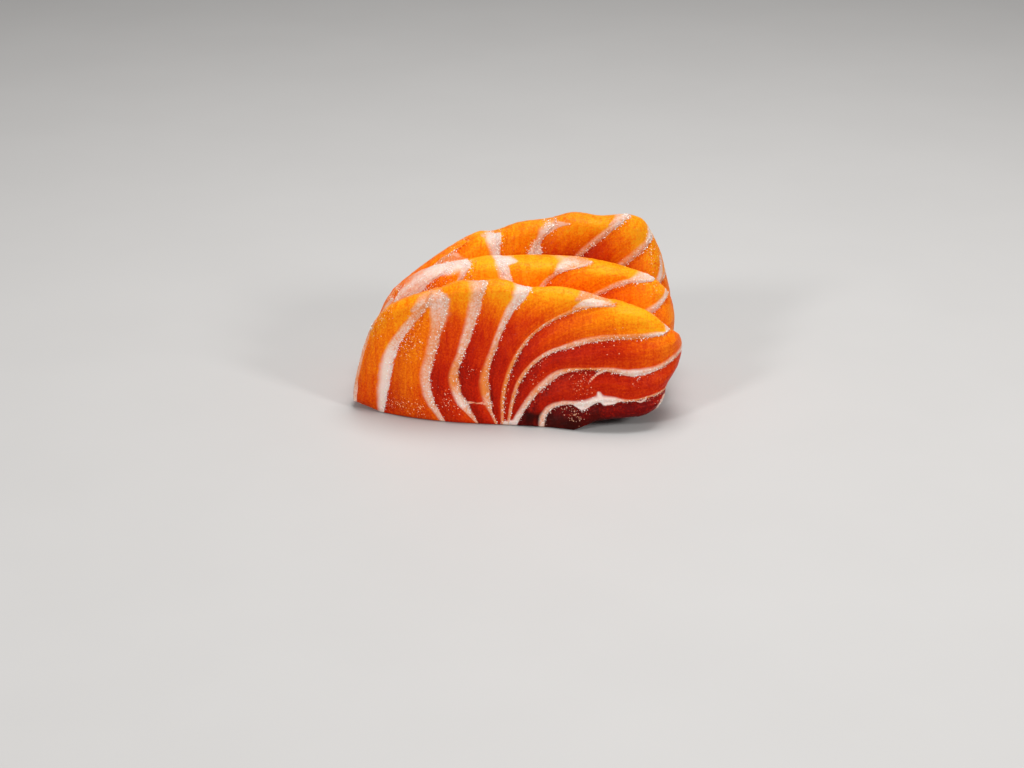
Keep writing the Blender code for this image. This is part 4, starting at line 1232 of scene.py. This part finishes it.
# The inputs of the two trees. "Fibre spacing" is in the fibres' own unit, and the others are in metres.
GRAIN = {
    "Fat height": 0.10 * MM, "Fibre height": 0.18 * MM, "Fibre spacing": 0.6, "Grain height": 0.20 * MM,
    "Grain size": 1.1 * MM, "Ragged height": 0.34 * MM, "Ragged size": 0.6 * MM,
}
BEADS = {"Beads per square metre": 7.0e6, "Smallest": 0.05 * MM, "Largest": 0.165 * MM, "Seed": 7}
BEADS_ON_FAT = 0.06  # how many of them the fat has, beside the torn flesh
# Beads near fat are paler, partly the fat's own white and partly painted glint.
PALE_REACH = 2.3  # beads are those of the flesh from this many half widths from any fat on
PALE_BAND = 1.3  # and get paler over this many towards it


def make_slices():
    """The three slices, finely made, each with its grain."""
    rows = crowded(ROWS)
    skins = {}
    for name, sizes in SLICES.items():
        skins[name] = slice_mesh(sizes, BEHIND[name], fine_columns(sizes), rows)
    shift = row_shift([skin[0] for skin in skins.values()])
    tree = flesh_grain_tree()
    salmon = raw_salmon()
    pieces = []
    for name, (places, quads, marks, fibre) in skins.items():
        piece = slice_object("salmon_" + name, places - shift, quads, marks, fibre)
        settle(piece, tree, {"Material": salmon, **GRAIN})
        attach(piece, "root")
        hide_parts(name)
        pieces.append(piece)
    return pieces


def point_values(data, name):
    """A named attribute of a mesh, one value for each point."""
    values = np.empty(len(data.vertices), np.float32)
    data.attributes[name].data.foreach_get("value", values)
    return values


def make_beads(slices):
    """One piece that holds the beads of all the slices, grown from a joined copy of their skins."""
    places = []
    quads = []
    marks = {"beads": [], "tone": [], "pale": []}
    first = 0
    for piece in slices:
        data = piece.data
        points = np.empty(len(data.vertices) * 3, np.float32)
        data.vertices.foreach_get("co", points)
        corners = np.empty(len(data.polygons) * 4, np.int32)
        data.loops.foreach_get("vertex_index", corners)
        places.append(points.reshape(-1, 3))
        quads.append(corners.reshape(-1, 4) + first)
        first += len(data.vertices)
        reach = point_values(data, "fat_reach")
        beads = point_values(data, "grainy") + BEADS_ON_FAT * np.exp(-reach ** 2)
        marks["beads"].append(beads * point_values(data, "lift"))
        marks["tone"].append(point_values(data, "tone"))
        # Paleness near fat: partly the fat's own white, partly painted glint.
        whiteness = 0.5 + 0.4 * point_values(data, "fat_white")
        marks["pale"].append(ease((PALE_REACH - reach) / PALE_BAND) * whiteness)
    data = bpy.data.meshes.new("wet_beads")
    data.from_pydata(np.concatenate(places).tolist(), [], np.concatenate(quads).tolist())
    for key, values in marks.items():
        store(data, key, "FLOAT", np.concatenate(values))
    piece = bpy.data.objects.new("wet_beads", data)
    bpy.context.scene.collection.objects.link(piece)
    settle(piece, wet_beads_tree(), {"Material": wet_bead(), **BEADS})
    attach(piece, "root")


BOARD_SIZE = 6.0
BOARD_DROP = 0.00002  # a hair under the slices, so that the surfaces don't meet


def make_board():
    """The plain pale floor."""
    bpy.ops.mesh.primitive_plane_add(size=BOARD_SIZE, location=(0, 0, -BOARD_DROP))
    board = bpy.context.object
    board.name = "board"
    board.data.materials.append(pale_board())


WORLD_LIGHT = 0.22
# Each lamp's place, the point that it faces, its width and its power.
LAMPS = {
    "softbox_above": ((0.06, 0.08, 0.5), (0.0, 0.0, 0.0), 0.3, 2.45),
    "softbox_front_left": ((-0.45, -0.55, 0.4), (0.0, 0.0, 0.01), 0.12, 2.5),
    "softbox_front_right": ((0.5, -0.45, 0.35), (0.0, 0.0, 0.01), 0.12, 2.2),
}


def make_light(name, place, towards, size, power):
    """A square soft light that faces a point."""
    data = bpy.data.lights.new(name, "AREA")
    data.shape = "SQUARE"
    data.size = size
    data.energy = power
    lamp = bpy.data.objects.new(name, data)
    bpy.context.scene.collection.objects.link(lamp)
    aim(lamp, place, towards)


def aim(thing, place, towards):
    """Puts a camera or light at a place, looking at a point."""
    thing.location = place
    thing.rotation_euler = (Vector(towards) - Vector(place)).to_track_quat("-Z", "Y").to_euler()


CAMERA_RISE = math.radians(22.0)
CAMERA_DISTANCE = 0.532
CAMERA_LENS = 85.0
CAMERA_TARGET = (-0.0010, -0.0199, 0.0104)


def make_camera():
    """A long lens a little above the board, square to the front slice."""
    data = bpy.data.cameras.new("camera")
    data.lens = CAMERA_LENS
    data.clip_start = 0.01
    data.clip_end = 20.0
    camera = bpy.data.objects.new("camera", data)
    bpy.context.scene.collection.objects.link(camera)
    x, y, z = CAMERA_TARGET
    place = (x, y - CAMERA_DISTANCE * math.cos(CAMERA_RISE), z + CAMERA_DISTANCE * math.sin(CAMERA_RISE))
    aim(camera, place, CAMERA_TARGET)
    bpy.context.scene.camera = camera


def make_studio():
    """Soft light from above and behind, with weaker light from the front."""
    scene = bpy.context.scene
    scene.view_settings.view_transform = "Standard"
    world = scene.world or bpy.data.worlds.new("world")
    scene.world = world
    world.use_nodes = True
    background = world.node_tree.nodes["Background"]
    background.inputs["Color"].default_value = (1.0, 1.0, 1.0, 1.0)
    background.inputs["Strength"].default_value = WORLD_LIGHT
    for name, settings in LAMPS.items():
        make_light(name, *settings)


make_camera()
make_beads(make_slices())
make_board()
make_studio()
